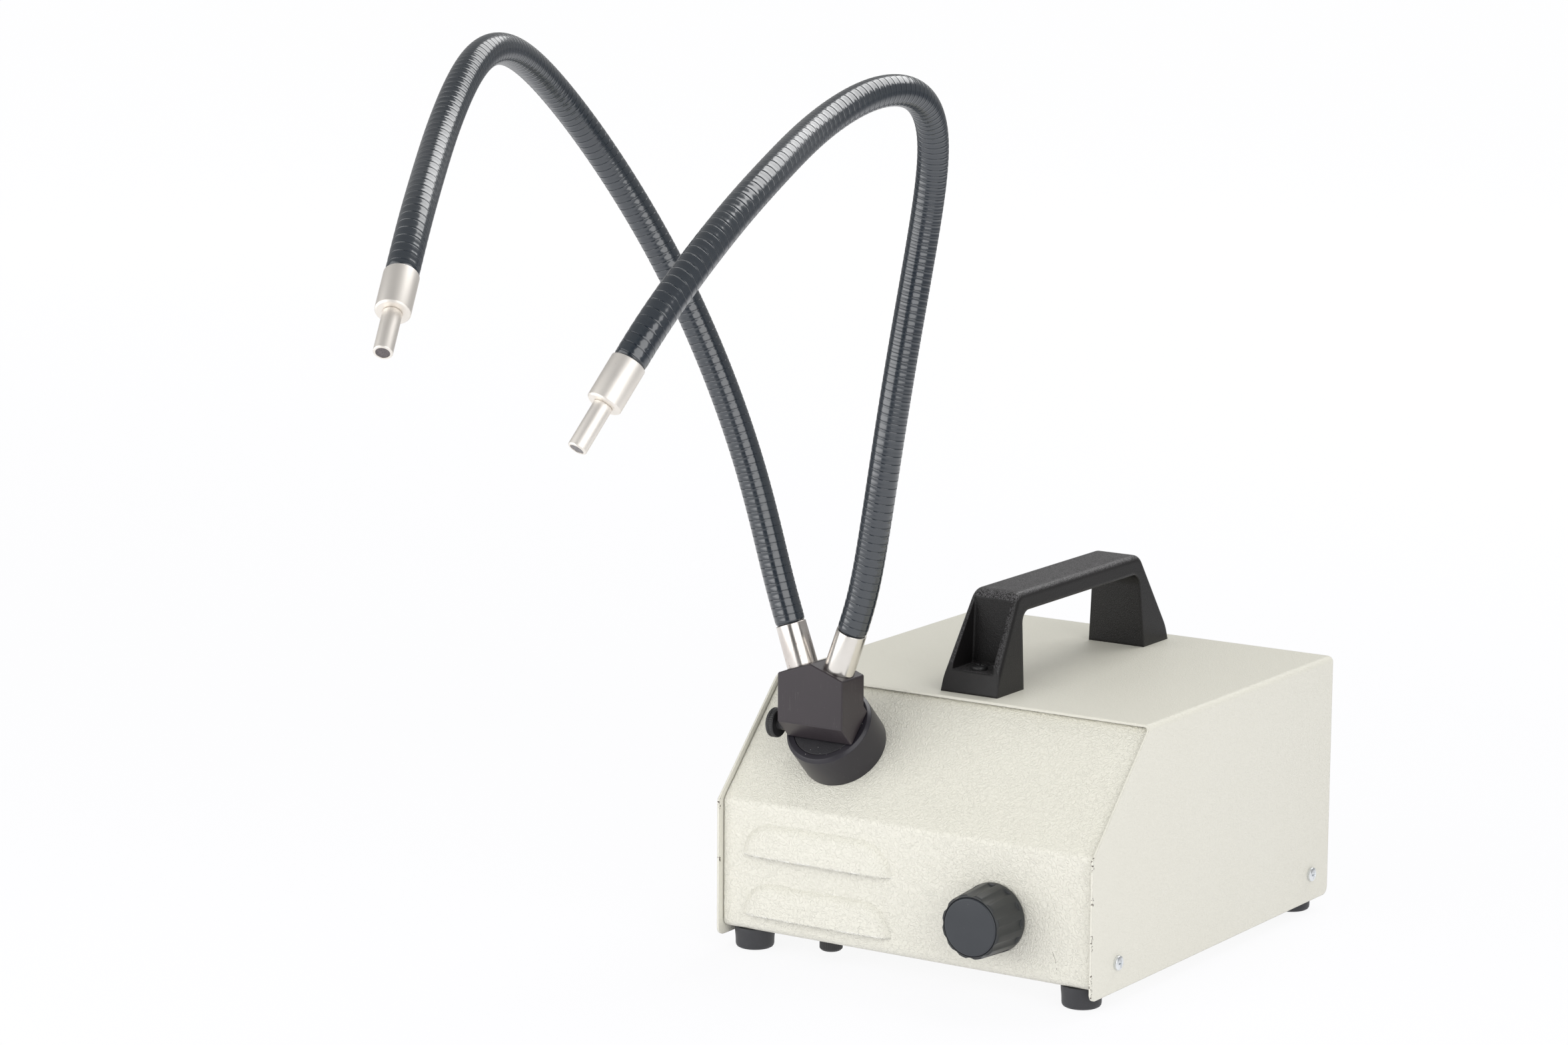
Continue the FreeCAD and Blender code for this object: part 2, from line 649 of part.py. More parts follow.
# ---- dimmer ----
def on_panel(thing, standoff=0):
    place(thing, knob_x, panel_y - standoff, cover_foot + size("knobRise"), turn=90)


def make_knob():
    long, sink = size("knobLong"), size("capSink")
    bore = size("shaftRadius") + size("fit") / 2
    well, roof = size("knobWell") + size("nutThick"), size("nutThick") * 2
    seat = size("capRadius") + size("fit")
    knob = turned("knob", [
        (well, 0), (size("knobBack"), 0), (size("knobFace"), long), (seat, long),
        (seat, long - sink), (0, long - sink), (0, size("shaftGrip")),
        (bore, size("shaftGrip")), (bore, roof), (well, roof)])
    dress(knob, "Fillet", size("knobRound"), rim_at(long, size("knobFace")))
    document.recompute()
    # the flutes lean in with the taper and stop short of the back
    taper = math.degrees(math.atan2((size("knobBack") - size("knobFace")).number, long.number))
    seat_of_cut = at(size("knobBack"), 0, size("fluteStart"), Vector(0, 1, 0), -taper)
    flutes = new_sketch(knob, "XY", at=seat_of_cut)
    circle(flutes, size("fluteRadius") - size("fluteDeep"), 0, size("fluteRadius"))
    flute = cut(knob, flutes, long + size("knobRound"), both=False, back=True)
    ring = knob.newObject("PartDesign::PolarPattern", "knob_flutes")
    ring.Originals = [flute]
    spin_axis = next(o for o in knob.Origin.OriginFeatures if o.Role == "Z_Axis")
    ring.Axis = (spin_axis, [""])
    ring.Angle = 360
    bind(ring, "Occurrences", size("fluteCount"))
    knob.Tip = ring
    on_panel(knob, size("knobGap"))
    part(knob, "knob")

    thick, bevel = size("capThick"), size("bevel")
    cap = turned("knob_cap", [(0, 0), (size("capRadius"), 0), (size("capRadius"), thick - bevel),
                              (size("capRadius") - bevel, thick), (0, thick)])
    on_panel(cap, size("knobGap") + long - sink)
    part(cap, "knob_cap")


def make_dimmer():
    bore = size("shaftRadius") + size("fit")
    proud, deep = size("bushingLong"), size("potDeep")
    slot = size("fit") * 2
    pot = turned("dimmer_pot", [
        (bore, proud), (size("bushingRadius"), proud), (size("bushingRadius"), -wall),
        (size("potRadius"), -wall), (size("potRadius"), -wall - deep), (0, -wall - deep),
        (0, -wall - deep / 2 - slot), (bore, -wall - deep / 2 - slot)])
    on_panel(pot)
    part(pot, "dimmer_pot")
    shaft = turned("dimmer_shaft", [
        (0, -wall - deep / 2), (size("shaftRadius"), -wall - deep / 2),
        (size("shaftRadius"), size("knobGap") + size("shaftGrip") - slot),
        (0, size("knobGap") + size("shaftGrip") - slot)])
    on_panel(shaft)
    part(shaft, "dimmer_shaft")
    nut = new_body("dimmer_nut")
    hexagon = new_sketch(nut, "XY")
    reach = size("nutFlats") / math.sqrt(3)
    corners = [math.radians(60 * i) for i in range(6)]
    polygon(hexagon, [(reach * round(math.cos(a), DIGITS), reach * round(math.sin(a), DIGITS))
                      for a in corners])
    circle(hexagon, 0, 0, size("bushingRadius") + size("fit"))
    pad(nut, hexagon, size("nutThick"))
    on_panel(nut)
    part(nut, "dimmer_nut")


# ---- collar, bush and light guide ----
def on_beam(thing, height=0):
    y, z = along_beam(height)
    place(thing, collar_x, y, z, turn=beam_turn)


def make_collar():
    tall, flange = size("collarTall"), size("bushFlangeThick")
    bore = size("bushRadius") + size("fit")
    sink = size("bushFlange") + size("fit") * 4
    slack = size("fit") * 2
    collar = turned("collar", [
        (bore, -wall - size("spigotLong")), (size("spigotRadius"), -wall - size("spigotLong")),
        (size("spigotRadius"), 0), (size("collarRadius"), 0), (size("collarRadius"), tall),
        (sink, tall), (sink, tall - flange - slack), (bore, tall - flange - slack)])
    dress(collar, "Chamfer", size("collarChamfer"), rim_at(tall, size("collarRadius")))
    on_beam(collar)
    part(collar, "collar")
    ring = turned("collar_nut", [
        (size("spigotRadius") + slack, 0), (size("ringRadius"), 0),
        (size("ringRadius"), -size("ringThick")), (size("spigotRadius") + slack, -size("ringThick"))])
    on_beam(ring, -wall)
    part(ring, "collar_nut")
    bush = turned("guide_bush", [
        (size("plugRadius") + size("fit"), tall), (size("bushFlange"), tall),
        (size("bushFlange"), tall - flange), (size("bushRadius"), tall - flange),
        (size("bushRadius"), tall - size("bushLong")),
        (size("plugRadius") + size("fit"), tall - size("bushLong"))])
    on_beam(bush)
    part(bush, "guide_bush")


def block_height():
    return size("collarTall") + size("blockGap")


def elbow_front():
    return -slope_sin * size("blockDepth") / 2 - slope_cos * size("blockReach")


def elbow_knee():
    return -slope_cos * size("blockDepth") / 2 + slope_sin * size("blockReach")


def roof_turn():
    return math.degrees(math.atan2(size("roofRise").number, size("blockWidth").number / 2))


def make_block():
    body = new_body("guide_block")
    deep, wide = size("blockDepth"), size("blockWidth")
    lip = elbow_front()
    back = lip + deep
    eaves = elbow_knee() + size("blockSide")
    apex = eaves + size("roofRise")
    crook = slope_cos * deep / 2 + slope_sin * (slope_sin * deep / 2 - back) / slope_cos
    side = new_sketch(body, "YZ")
    polygon(side, [(lip, elbow_knee()), (-slope_sin * deep / 2, -slope_cos * deep / 2),
                   (slope_sin * deep / 2, slope_cos * deep / 2),
                   (back, crook), (back, apex), (lip, apex)])
    pad(body, side, wide, both=True)
    roof = new_sketch(body, "XZ")
    for hand in (-1, 1):
        polygon(roof, [(0, apex), (hand * wide / 2, eaves), (hand * (wide / 2 + 1), eaves),
                       (hand * (wide / 2 + 1), apex + 1), (0, apex + 1)])
    cut(body, roof)
    dress(body, "Chamfer", size("blockChamfer"), lambda e: not edge_at(y=back, z=crook)(e))
    socket = new_sketch(body, "XY", at=at(0, 0, 0, turn=beam_turn))
    circle(socket, 0, 0, size("plugRadius") + size("fit"))
    cut(body, socket, size("plugGrip") * 2)
    for hand in (-1, 1):
        seat = at(hand * size("ferruleOffset"), lip + deep / 2,
                  apex - size("ferruleOffset") * size("roofRise") / (wide / 2),
                  Vector(0, 1, 0), hand * roof_turn())
        bore = new_sketch(body, "XY", at=seat)
        circle(bore, 0, 0, size("ferruleSpigot") + size("fit"))
        cut(body, bore, (size("ferruleSpigotLong") + size("endGap")) * 2)
    y, z = thumb_spot()
    thread = new_sketch(body, "YZ", -wide / 2)
    circle(thread, y, z, size("thumbStem") + size("fit"))
    cut(body, thread, (size("thumbStemLong") + size("endGap")) * 2)
    on_block(body)
    return part(body, "guide_block")


def thumb_spot():
    along, up = size("thumbAlong"), size("thumbUp")
    return slope_sin * along - slope_cos * up, slope_cos * along + slope_sin * up


def on_block(thing, x=0, y=0, z=0, axis=Vector(1, 0, 0), turn=0.0):
    beam = along_beam(block_height())
    place(thing, collar_x + x, beam[0] + y, beam[1] + z, axis, turn)


def make_guide_pieces():
    top, long = size("plugGrip") - size("endGap"), size("plugLong")
    bundle, bevel = size("plugBundle"), size("bevel")
    plug = turned("guide_plug", [
        (bundle, top), (size("plugRadius"), top), (size("plugRadius"), bevel - long),
        (size("plugRadius") - bevel, -long), (bundle, -long)])
    on_beam(plug, block_height())
    part(plug, "guide_plug")
    tail = size("bundleSink") - long
    fibres = turned("inlet_fibres", [(0, top), (bundle, top), (bundle, tail), (0, tail)])
    on_beam(fibres, block_height())
    part(fibres, "inlet_fibres")

    head, stem, neck = size("thumbRadius"), size("thumbStem"), size("endGap")
    stand, thick = size("thumbStandoff"), size("thumbThick")
    thumb = turned("thumb_screw", [
        (0, -size("thumbStemLong")), (stem, -size("thumbStemLong")), (stem, neck),
        (size("thumbNeck"), neck), (size("thumbNeck"), stand), (head - bevel, stand),
        (head, stand + bevel), (head, stand + thick - bevel), (head - bevel, stand + thick),
        (0, stand + thick)])
    y, z = thumb_spot()
    on_block(thumb, -size("blockWidth") / 2, y, z, Vector(0, 1, 0), -90)
    part(thumb, "thumb_screw")

    for hand, word in ((-1, "left"), (1, "right")):
        long = size("ferruleLong")
        seat = long - size("hoseStem") - size("endGap")
        ferrule = turned(f"base_ferrule_{word}", [
            (size("ferruleThroat"), -size("ferruleSpigotLong")),
            (size("ferruleSpigot"), -size("ferruleSpigotLong")), (size("ferruleSpigot"), 0),
            (size("ferruleFoot"), 0), (size("ferruleHead"), long), (size("ferruleBore"), long),
            (size("ferruleBore"), seat), (size("ferruleThroat"), seat)])
        x, y, z = ferrule_foot(hand)
        on_block(ferrule, x, y, z, Vector(0, 1, 0), hand * roof_turn())
        part(ferrule, f"base_ferrule_{word}")


def ferrule_foot(hand):
    drop = size("ferruleOffset") * size("roofRise") / (size("blockWidth") / 2)
    apex = elbow_knee() + size("blockSide") + size("roofRise")
    return hand * size("ferruleOffset"), elbow_front() + size("blockDepth") / 2, apex - drop


# ---- goosenecks ----
def route_of(hand):
    x, y, z = (v.number for v in ferrule_foot(hand))
    beam = along_beam(block_height())
    lean = math.radians(roof_turn())
    out = Vector(hand * math.sin(lean), 0, math.cos(lean))
    foot = Vector(collar_x.number + x, beam[0].number + y, beam[1].number + z)
    start = foot + out * size("ferruleLong").number
    points = [start, start + out * size("firstRun").number]
    word = "left" if hand < 0 else "right"
    return points + [start + Vector(*offset) for offset in ROUTES[word]]


# Straight runs joined by tangent arcs. Arcs keep clear of the middle of each inner run, and of
# the straight end at a bending joint.
def route_wire(points, clear_first, clear_last):
    edges = []
    at_point = points[0]
    for i in range(1, len(points) - 1):
        before, here, after = points[i - 1], points[i], points[i + 1]
        arriving, leaving = here - before, after - here
        room_in = arriving.Length - clear_first if i == 1 else arriving.Length * 0.45
        room_out = leaving.Length - clear_last if i == len(points) - 2 else leaving.Length * 0.45
        room = min(room_in, room_out)
        turn = arriving.getAngle(leaving)
        radius = room / math.tan(turn / 2)
        arriving.normalize()
        leaving.normalize()
        start, end = here - arriving * room, here + leaving * room
        inward = (leaving - arriving).normalize()
        middle = here + inward * (math.hypot(room, radius) - radius)
        edges.append(Part.LineSegment(at_point, start).toShape())
        edges.append(Part.Arc(start, middle, end).toShape())
        print(f"bend radius {radius:.0f} mm")
        at_point = end
    edges.append(Part.LineSegment(at_point, points[-1]).toShape())
    return Part.Wire(edges)


def sphere(name, radius, centre):
    ball = document.addObject("Part::Sphere", name)
    bind(ball, "Radius", radius)
    ball.Placement = Placement(centre, Rotation())
    return ball


def boolean(kind, name, base, tool):
    feature = document.addObject(f"Part::{kind}", name)
    feature.Base = base
    feature.Tool = tool
    return feature


def sweep_tube(name, wire, start, direction):
    spine = document.addObject("Part::Feature", f"{name}_spine")
    spine.Shape = wire
    ring = document.addObject("Part::Circle", f"{name}_section")
    bind(ring, "Radius", size("hoseRadius"))
    ring.Placement = Placement(start, Rotation(Vector(0, 0, 1), direction))
    tube = document.addObject("Part::Sweep", f"{name}_tube")
    tube.Sections = [ring]
    tube.Spine = (spine, [f"Edge{i}" for i in range(1, len(wire.Edges) + 1)])
    tube.Solid = True
    return tube


# One stretch of gooseneck. It starts with a cup round the last stretch's dome, or with a stem in
# its ferrule, and ends with a dome, or flat against the tip.
def make_stretch(label, points, cupped, domed):
    first, last = points[0], points[-1]
    ahead = (points[1] - first).normalize()
    behind = (points[-2] - last).normalize()
    trimmed = list(points)
    if cupped:
        trimmed[0] = first + ahead * size("rimSetback").number
    if domed:
        trimmed[-1] = last + behind * size("shoulderSetback").number
    clear = size("jointStraight").number
    wire = route_wire(trimmed, clear if cupped else 1.0, clear if domed else 1.0)
    solid = sweep_tube(label, wire, trimmed[0], ahead)
    if cupped:
        cup = sphere(f"{label}_cup", size("domeRadius") + size("cupGap"), first)
        solid = boolean("Cut", f"{label}_cupped", solid, cup)
    else:
        stem = document.addObject("Part::Cylinder", f"{label}_stem")
        bind(stem, "Radius", size("ferruleBore") - size("fit"))
        bind(stem, "Height", size("hoseStem"))
        stem.Placement = Placement(first, Rotation(Vector(0, 0, 1), -ahead))
        solid = boolean("Fuse", f"{label}_stemmed", solid, stem)
    if domed:
        dome = sphere(f"{label}_dome", size("domeRadius"), last)
        solid = boolean("Fuse", f"{label}_domed", solid, dome)
    else:
        stem = document.addObject("Part::Cylinder", f"{label}_end")
        bind(stem, "Radius", size("ferruleBore") - size("fit"))
        bind(stem, "Height", size("tipStem"))
        stem.Placement = Placement(last, Rotation(Vector(0, 0, 1), -behind))
        solid = boolean("Fuse", f"{label}_ended", solid, stem)
    part(solid, label)


def make_gooseneck(hand, word):
    points = route_of(hand)
    starts = [0] + [run + 1 for run in BENDING_RUNS]
    stops = [run + 1 for run in BENDING_RUNS] + [len(points)]
    pivots = [(points[run] + points[run + 1]) / 2 for run in BENDING_RUNS]
    for i, stretch in enumerate(STRETCHES):
        stretch_points = points[starts[i]:stops[i]]
        if i > 0:
            stretch_points = [pivots[i - 1]] + stretch_points
        if i < len(pivots):
            stretch_points = stretch_points + [pivots[i]]
        make_stretch(f"{word}_gooseneck_{stretch}", stretch_points, i > 0, i < len(pivots))
    for name, pivot, run in zip(STRETCHES[1:], pivots, BENDING_RUNS):
        line = (points[run + 1] - points[run]).normalize()
        print(f"{word} {name} pivot", [round(v, 2) for v in pivot], "along", [round(v, 3) for v in line])
    make_tip(word, points[-1], (points[-1] - points[-2]).normalize())


def make_tip(word, end, direction):
    long, rim, seat = size("tipLong"), size("tipChamfer"), size("tipStem") + size("endGap")
    bore = size("nozzleShank") + size("fit") / 2
    turn = Rotation(Vector(0, 0, 1), direction)
    ferrule = turned(f"tip_ferrule_{word}", [
        (size("ferruleBore"), 0), (size("tipRadius"), 0), (size("tipRadius"), long - rim),
        (size("tipRadius") - rim, long), (bore, long), (bore, seat), (size("ferruleBore"), seat)])
    reach, stem, bevel = long + size("nozzleLong"), long - size("nozzleStem"), size("nozzleBevel")
    hole = size("bundleRadius")
    nozzle = turned(f"nozzle_{word}", [
        (hole, stem), (size("nozzleShank"), stem), (size("nozzleShank"), long),
        (size("nozzleRadius"), long), (size("nozzleRadius"), reach - bevel),
        (size("nozzleRadius") - bevel, reach), (hole, reach)])
    tail = reach - size("bundleLong")
    fibres = turned(f"outlet_fibres_{word}", [
        (0, tail), (hole, tail), (hole, reach - size("bundleSink")), (0, reach - size("bundleSink"))])
    for body in (ferrule, nozzle, fibres):
        body.Placement = Placement(end, turn)
        part(body, body.Name)
    print(f"{word} tip end", [round(v, 2) for v in end], "along", [round(v, 4) for v in direction])


# ---- lamp module ----
def make_lamp_tray():
    body = new_body("lamp_tray")
    thick = size("traySheet")
    drop, reach = size("lampDrop"), size("trayHalf")
    face_y, face_z = along_beam(-drop)
    back_y, back_z = along_beam(-drop - thick)
    toe_y = face_y - slope_sin * reach
    knee_z = face_z - slope_cos * reach
    knee_back = back_z + slope_cos * (toe_y + thick - back_y) / slope_sin
    side = new_sketch(body, "YZ")
    polygon(side, [
        (toe_y, floor_z + thick), (toe_y, knee_z),
        (face_y + slope_sin * reach, face_z + slope_cos * reach),
        (back_y + slope_sin * reach, back_z + slope_cos * reach),
        (toe_y + thick, knee_back), (toe_y + thick, floor_z),
        (toe_y - size("trayToe"), floor_z), (toe_y - size("trayToe"), floor_z + thick)])
    pad(body, side, size("trayWidth"), both=True)
    window = new_sketch(body, "XY", at=at(0, face_y, face_z, turn=beam_turn))
    circle(window, 0, 0, size("filterRadius") - size("filterRim"))
    cut(body, window, thick * 4)
    x, y = tray_screw_spot()
    thread = new_sketch(body, "XY", floor_z)
    circle(thread, x - collar_x, y, size("screwShank") + size("fit"))
    cut(body, thread, thick * 4)
    place(body, collar_x)
    part(body, "lamp_tray")


def make_lamp():
    drop, thick = size("lampDrop"), size("traySheet")
    glass, rim = size("filterThick"), size("filterRim")
    pane = size("filterRadius")
    lens = turned("heat_filter", [(0, 0), (pane, 0), (pane, glass), (0, glass)])
    on_beam(lens, -drop)
    part(lens, "heat_filter")
    slack = size("fit") * 2
    holder = turned("filter_ring", [
        (pane + slack, 0), (pane + rim, 0), (pane + rim, glass + rim / 2),
        (pane - rim / 2, glass + rim / 2), (pane - rim / 2, glass), (pane + slack, glass)])
    on_beam(holder, -drop)
    part(holder, "filter_ring")

    wide, deep, skin = size("reflectorRadius"), size("reflectorDeep"), size("reflectorWall")
    neck, neck_long = size("reflectorNeck"), size("reflectorNeckLong")
    steps = 6
    outside = [(neck + (wide - neck) * (i / steps), -deep + deep * (i / steps) ** 2)
               for i in range(steps + 1)]
    inside = [(r - skin, z) for r, z in reversed(outside)]
    mirror = turned("lamp_reflector", [(neck, -deep - neck_long)] + outside + inside
                    + [(neck - skin, -deep - neck_long)])
    on_beam(mirror, -drop - thick)
    part(mirror, "lamp_reflector")
    bulb, long = size("capsuleRadius"), size("capsuleLong")
    capsule = turned("lamp_capsule", [
        (0, -neck_long), (bulb * 0.8, -neck_long), (bulb * 0.8, 0), (bulb, 2), (bulb, long - 4),
        (bulb * 0.6, long - 1), (0, long)])
    on_beam(capsule, -drop - thick - deep)
    part(capsule, "lamp_capsule")

    socket = new_body("lamp_socket")
    block = new_sketch(socket, "XY")
    half = size("socketWidth") / 2
    rectangle(block, -half, -half * 0.7, half, half * 0.7)
    pad(socket, block, size("socketDeep"), back=True)
    dress(socket, "Fillet", size("socketRound"), lambda e: runs_along(e, "z"))
    on_beam(socket, -drop - thick - deep - neck_long)
    part(socket, "lamp_socket")


def make_tray_screw():
    head, tall = size("trayScrewHead"), size("trayScrewTall")
    shank, long = size("screwShank"), size("trayScrewLong")
    screw = turned("tray_screw", [
        (0, -tall), (head, -tall), (head, 0), (shank, 0), (shank, long), (0, long)])
    dress(screw, "Fillet", size("trayScrewRound"), rim_at(-tall, head))
    x, y = tray_screw_spot()
    place(screw, x, y, base_z - size("fit"))
    part(screw, "tray_screw")


# ---- fan ----
def on_rear(thing, x, z, y=rear_y):
    place(thing, x, y, z, turn=-90)


def make_fan():
    half, deep = size("fanSize") / 2, size("fanDeep")
    frame = new_body("fan_frame")
    square = new_sketch(frame, "XY", -wall)
    rectangle(square, -half, -half, half, half)
    circle(square, 0, 0, size("fanBore"))
    pad(frame, square, deep, back=True)
    dress(frame, "Fillet", size("fanRound"), lambda e: runs_along(e, "z") and all(
        same(abs(v.Point.x), half) and same(abs(v.Point.y), half) for v in e.Vertexes))
    motor = new_sketch(frame, "XY", -wall - deep)
    circle(motor, 0, 0, size("fanHub"))
    pad(frame, motor, size("motorThick"))
    for crossed in (False, True):
        strut = new_sketch(frame, "XY", -wall - deep)
        long, slim = size("fanBore") + size("endGap"), size("strutHalf")
        across, up = (slim, long) if crossed else (long, slim)
        rectangle(strut, -across, -up, across, up)
        pad(frame, strut, size("strutThick"))
    post = new_sketch(frame, "XY", -wall - deep)
    circle(post, 0, 0, size("shaftRadius") - size("fit"))
    pad(frame, post, deep - size("hubGap"))
    holes = new_sketch(frame, "XY", -wall)
    for i in (-1, 1):
        for j in (-1, 1):
            circle(holes, i * size("fanHole"), j * size("fanHole"), size("fanScrewShank") + size("fit"))
    cut(frame, holes)
    on_rear(frame, fan_x, size("fanZ"))
    part(frame, "fan_frame")

    hub_top, bore_end = deep - size("hubGap") / 2, deep - size("hubGap") + size("endGap")
    rotor = turned("fan_hub", [
        (size("shaftRadius"), size("hubGap")), (size("fanHub"), size("hubGap")),
        (size("fanHub"), hub_top - size("bevel")), (size("fanHub") - size("bevel"), hub_top),
        (0, hub_top), (0, bore_end), (size("shaftRadius"), bore_end)])
    for i in range(int(size("bladeCount").number)):
        blade = document.addObject("Part::Box", f"fan_blade_{i}")
        blade_root = size("fanHub") - size("bladeThick")
        bind(blade, "Length", size("fanTip") - blade_root)
        bind(blade, "Width", size("bladeThick"))
        bind(blade, "Height", size("bladeChord"))
        lean = Placement(Vector(blade_root.number, 0, deep.number / 2),
                         Rotation(Vector(1, 0, 0), size("bladePitch").number))
        centred = Placement(Vector(0, -size("bladeThick").number / 2, -size("bladeChord").number / 2),
                            Rotation())
        spin = Placement(Vector(), Rotation(Vector(0, 0, 1), i * 360 / size("bladeCount").number))
        blade.Placement = spin * lean * centred
        rotor = boolean("Fuse", f"fan_rotor_{i}", rotor, blade)
    on_rear(rotor, fan_x, size("fanZ"), rear_y - wall - deep)
    part(rotor, "fan_rotor")

    wire = size("guardWire")
    guard = None
    rings = (0.24, 0.48, 0.72, 0.96)
    for i, share in enumerate(rings):
        ring = document.addObject("Part::Torus", f"guard_ring_{i}")
        bind(ring, "Radius1", size("fanBore") * share)
        bind(ring, "Radius2", wire)
        ring.Placement = Placement(Vector(0, 0, wire.number * 2.2), Rotation())
        guard = boolean("Fuse", f"guard_{i}", guard, ring) if guard else ring
    eye = size("fanScrewShank") + size("fit") * 2 + wire
    reach = size("fanHole") * math.sqrt(2) - eye
    for i in (0, 1):
        bar = document.addObject("Part::Cylinder", f"guard_bar_{i}")
        bind(bar, "Radius", wire)
        bind(bar, "Height", reach * 2)
        turn = Rotation(Vector(0, 0, 1), 45 + 90 * i) * Rotation(Vector(0, 1, 0), 90)
        middle = turn.multVec(Vector(0, 0, -reach.number))
        bar.Placement = Placement(middle + Vector(0, 0, wire.number), turn)
        guard = boolean("Fuse", f"guard_barred_{i}", guard, bar)
    for i in range(4):
        loop = document.addObject("Part::Torus", f"guard_eye_{i}")
        bind(loop, "Radius1", eye)
        bind(loop, "Radius2", wire)
        across, up = ((1, 1), (-1, 1), (-1, -1), (1, -1))[i]
        corner = Vector(across, up, 0) * size("fanHole").number
        loop.Placement = Placement(corner + Vector(0, 0, wire.number), Rotation())
        guard = boolean("Fuse", f"guard_eyed_{i}", guard, loop)
    on_rear(guard, fan_x, size("fanZ"))
    part(guard, "fan_guard")


def make_rear_screws():
    head, tall = size("screwHead") * 0.85, size("screwHeadTall") * 0.7
    for name, long, seat, spots in (
            ("fan_screw", size("fanScrewLong"), size("guardWire") * 2, fan_spots()),
            ("inlet_screw", size("inletScrewLong"), size("inletFlange"), inlet_spots())):
        screw = make_screw(name, head, tall, size("fanScrewShank"), long)
        copies(f"{name}s", screw, [at(x, rear_y + seat, z, turn=-90) for x, z in spots])


# ---- mains inlet ----
# In these bodies' own frames X is as on the housing, Y is down and Z points to the rear.
def make_inlet():
    body = new_body("inlet_socket")
    flange = new_sketch(body, "XY")
    wide, tall = size("inletWide") / 2, size("inletTall") / 2
    rectangle(flange, -wide, -tall, wide, tall)
    pad(body, flange, size("inletFlange"))
    dress(body, "Fillet", size("inletRound"), lambda e: runs_along(e, "z"))
    housing = new_sketch(body, "XY")
    across, up = size("inletBodyWide") / 2, size("inletBodyTall") / 2
    rectangle(housing, -across, -up, across, up)
    pad(body, housing, size("inletBodyDeep"), back=True)
    recess = new_sketch(body, "XY", size("inletFlange"))
    rise = -size("recessRise")
    half_wide, half_tall = size("recessWide") / 2, size("recessTall") / 2
    cut_corner = size("recessCorner")
    polygon(recess, [
        (-half_wide, rise + half_tall), (-half_wide, rise - half_tall + cut_corner),
        (cut_corner - half_wide, rise - half_tall), (half_wide - cut_corner, rise - half_tall),
        (half_wide, rise - half_tall + cut_corner), (half_wide, rise + half_tall)])
    cut(body, recess, size("recessDeep"), both=False)
    slot = new_sketch(body, "XY", size("inletFlange"))
    gap = size("fit") * 2
    drop = size("drawerDrop")
    rectangle(slot, -size("drawerWide") / 2 - gap, drop - size("drawerTall") / 2 - gap,
              size("drawerWide") / 2 + gap, drop + size("drawerTall") / 2 + gap)
    cut(body, slot, size("drawerDeep") + gap, both=False)
    holes = new_sketch(body, "XY", size("inletFlange"))
    for side in (-1, 1):
        circle(holes, side * size("inletHole"), 0, size("fanScrewShank") + size("fit"))
    cut(body, holes)
    on_rear(body, inlet_x, size("inletZ"))
    part(body, "inlet_socket")

    pins = new_body("inlet_pin")
    blade = new_sketch(pins, "XY")
    rectangle(blade, -size("pinHalfWide"), -size("pinHalfTall"), size("pinHalfWide"), size("pinHalfTall"))
    pad(pins, blade, size("pinDeep"))
    floor = size("inletFlange") - size("recessDeep")
    # two pins side by side and the earth pin above them
    spots = ((-7, -2), (7, -2), (0, 3))
    middle = size("inletZ") + size("recessRise")
    places = [at(inlet_x + x, rear_y + floor, middle + rise, turn=-90) for x, rise in spots]
    copies("inlet_pins", pins, places)

    drawer = new_body("fuse_drawer")
    face = new_sketch(drawer, "XY", size("inletFlange"))
    rectangle(face, -size("drawerWide") / 2, -size("drawerTall") / 2,
              size("drawerWide") / 2, size("drawerTall") / 2)
    pad(drawer, face, size("drawerDeep"), back=True)
    lip = new_sketch(drawer, "XY", size("inletFlange"))
    pull = size("pullHalf")
    rectangle(lip, -pull, -size("drawerTall") / 2, pull, size("pullTall") - size("drawerTall") / 2)
    pad(drawer, lip, size("pullOut"))
    skin = size("drawerWall")
    trough = new_sketch(drawer, "XY", size("inletFlange") - skin)
    rectangle(trough, skin - size("drawerWide") / 2, skin - size("drawerTall") / 2,
              size("drawerWide") / 2 - skin, size("drawerTall") / 2 + 1)
    cut(drawer, trough, size("drawerDeep") - 2 * skin, both=False)
    on_rear(drawer, inlet_x, size("inletZ") - size("drawerDrop"))
    part(drawer, "fuse_drawer")


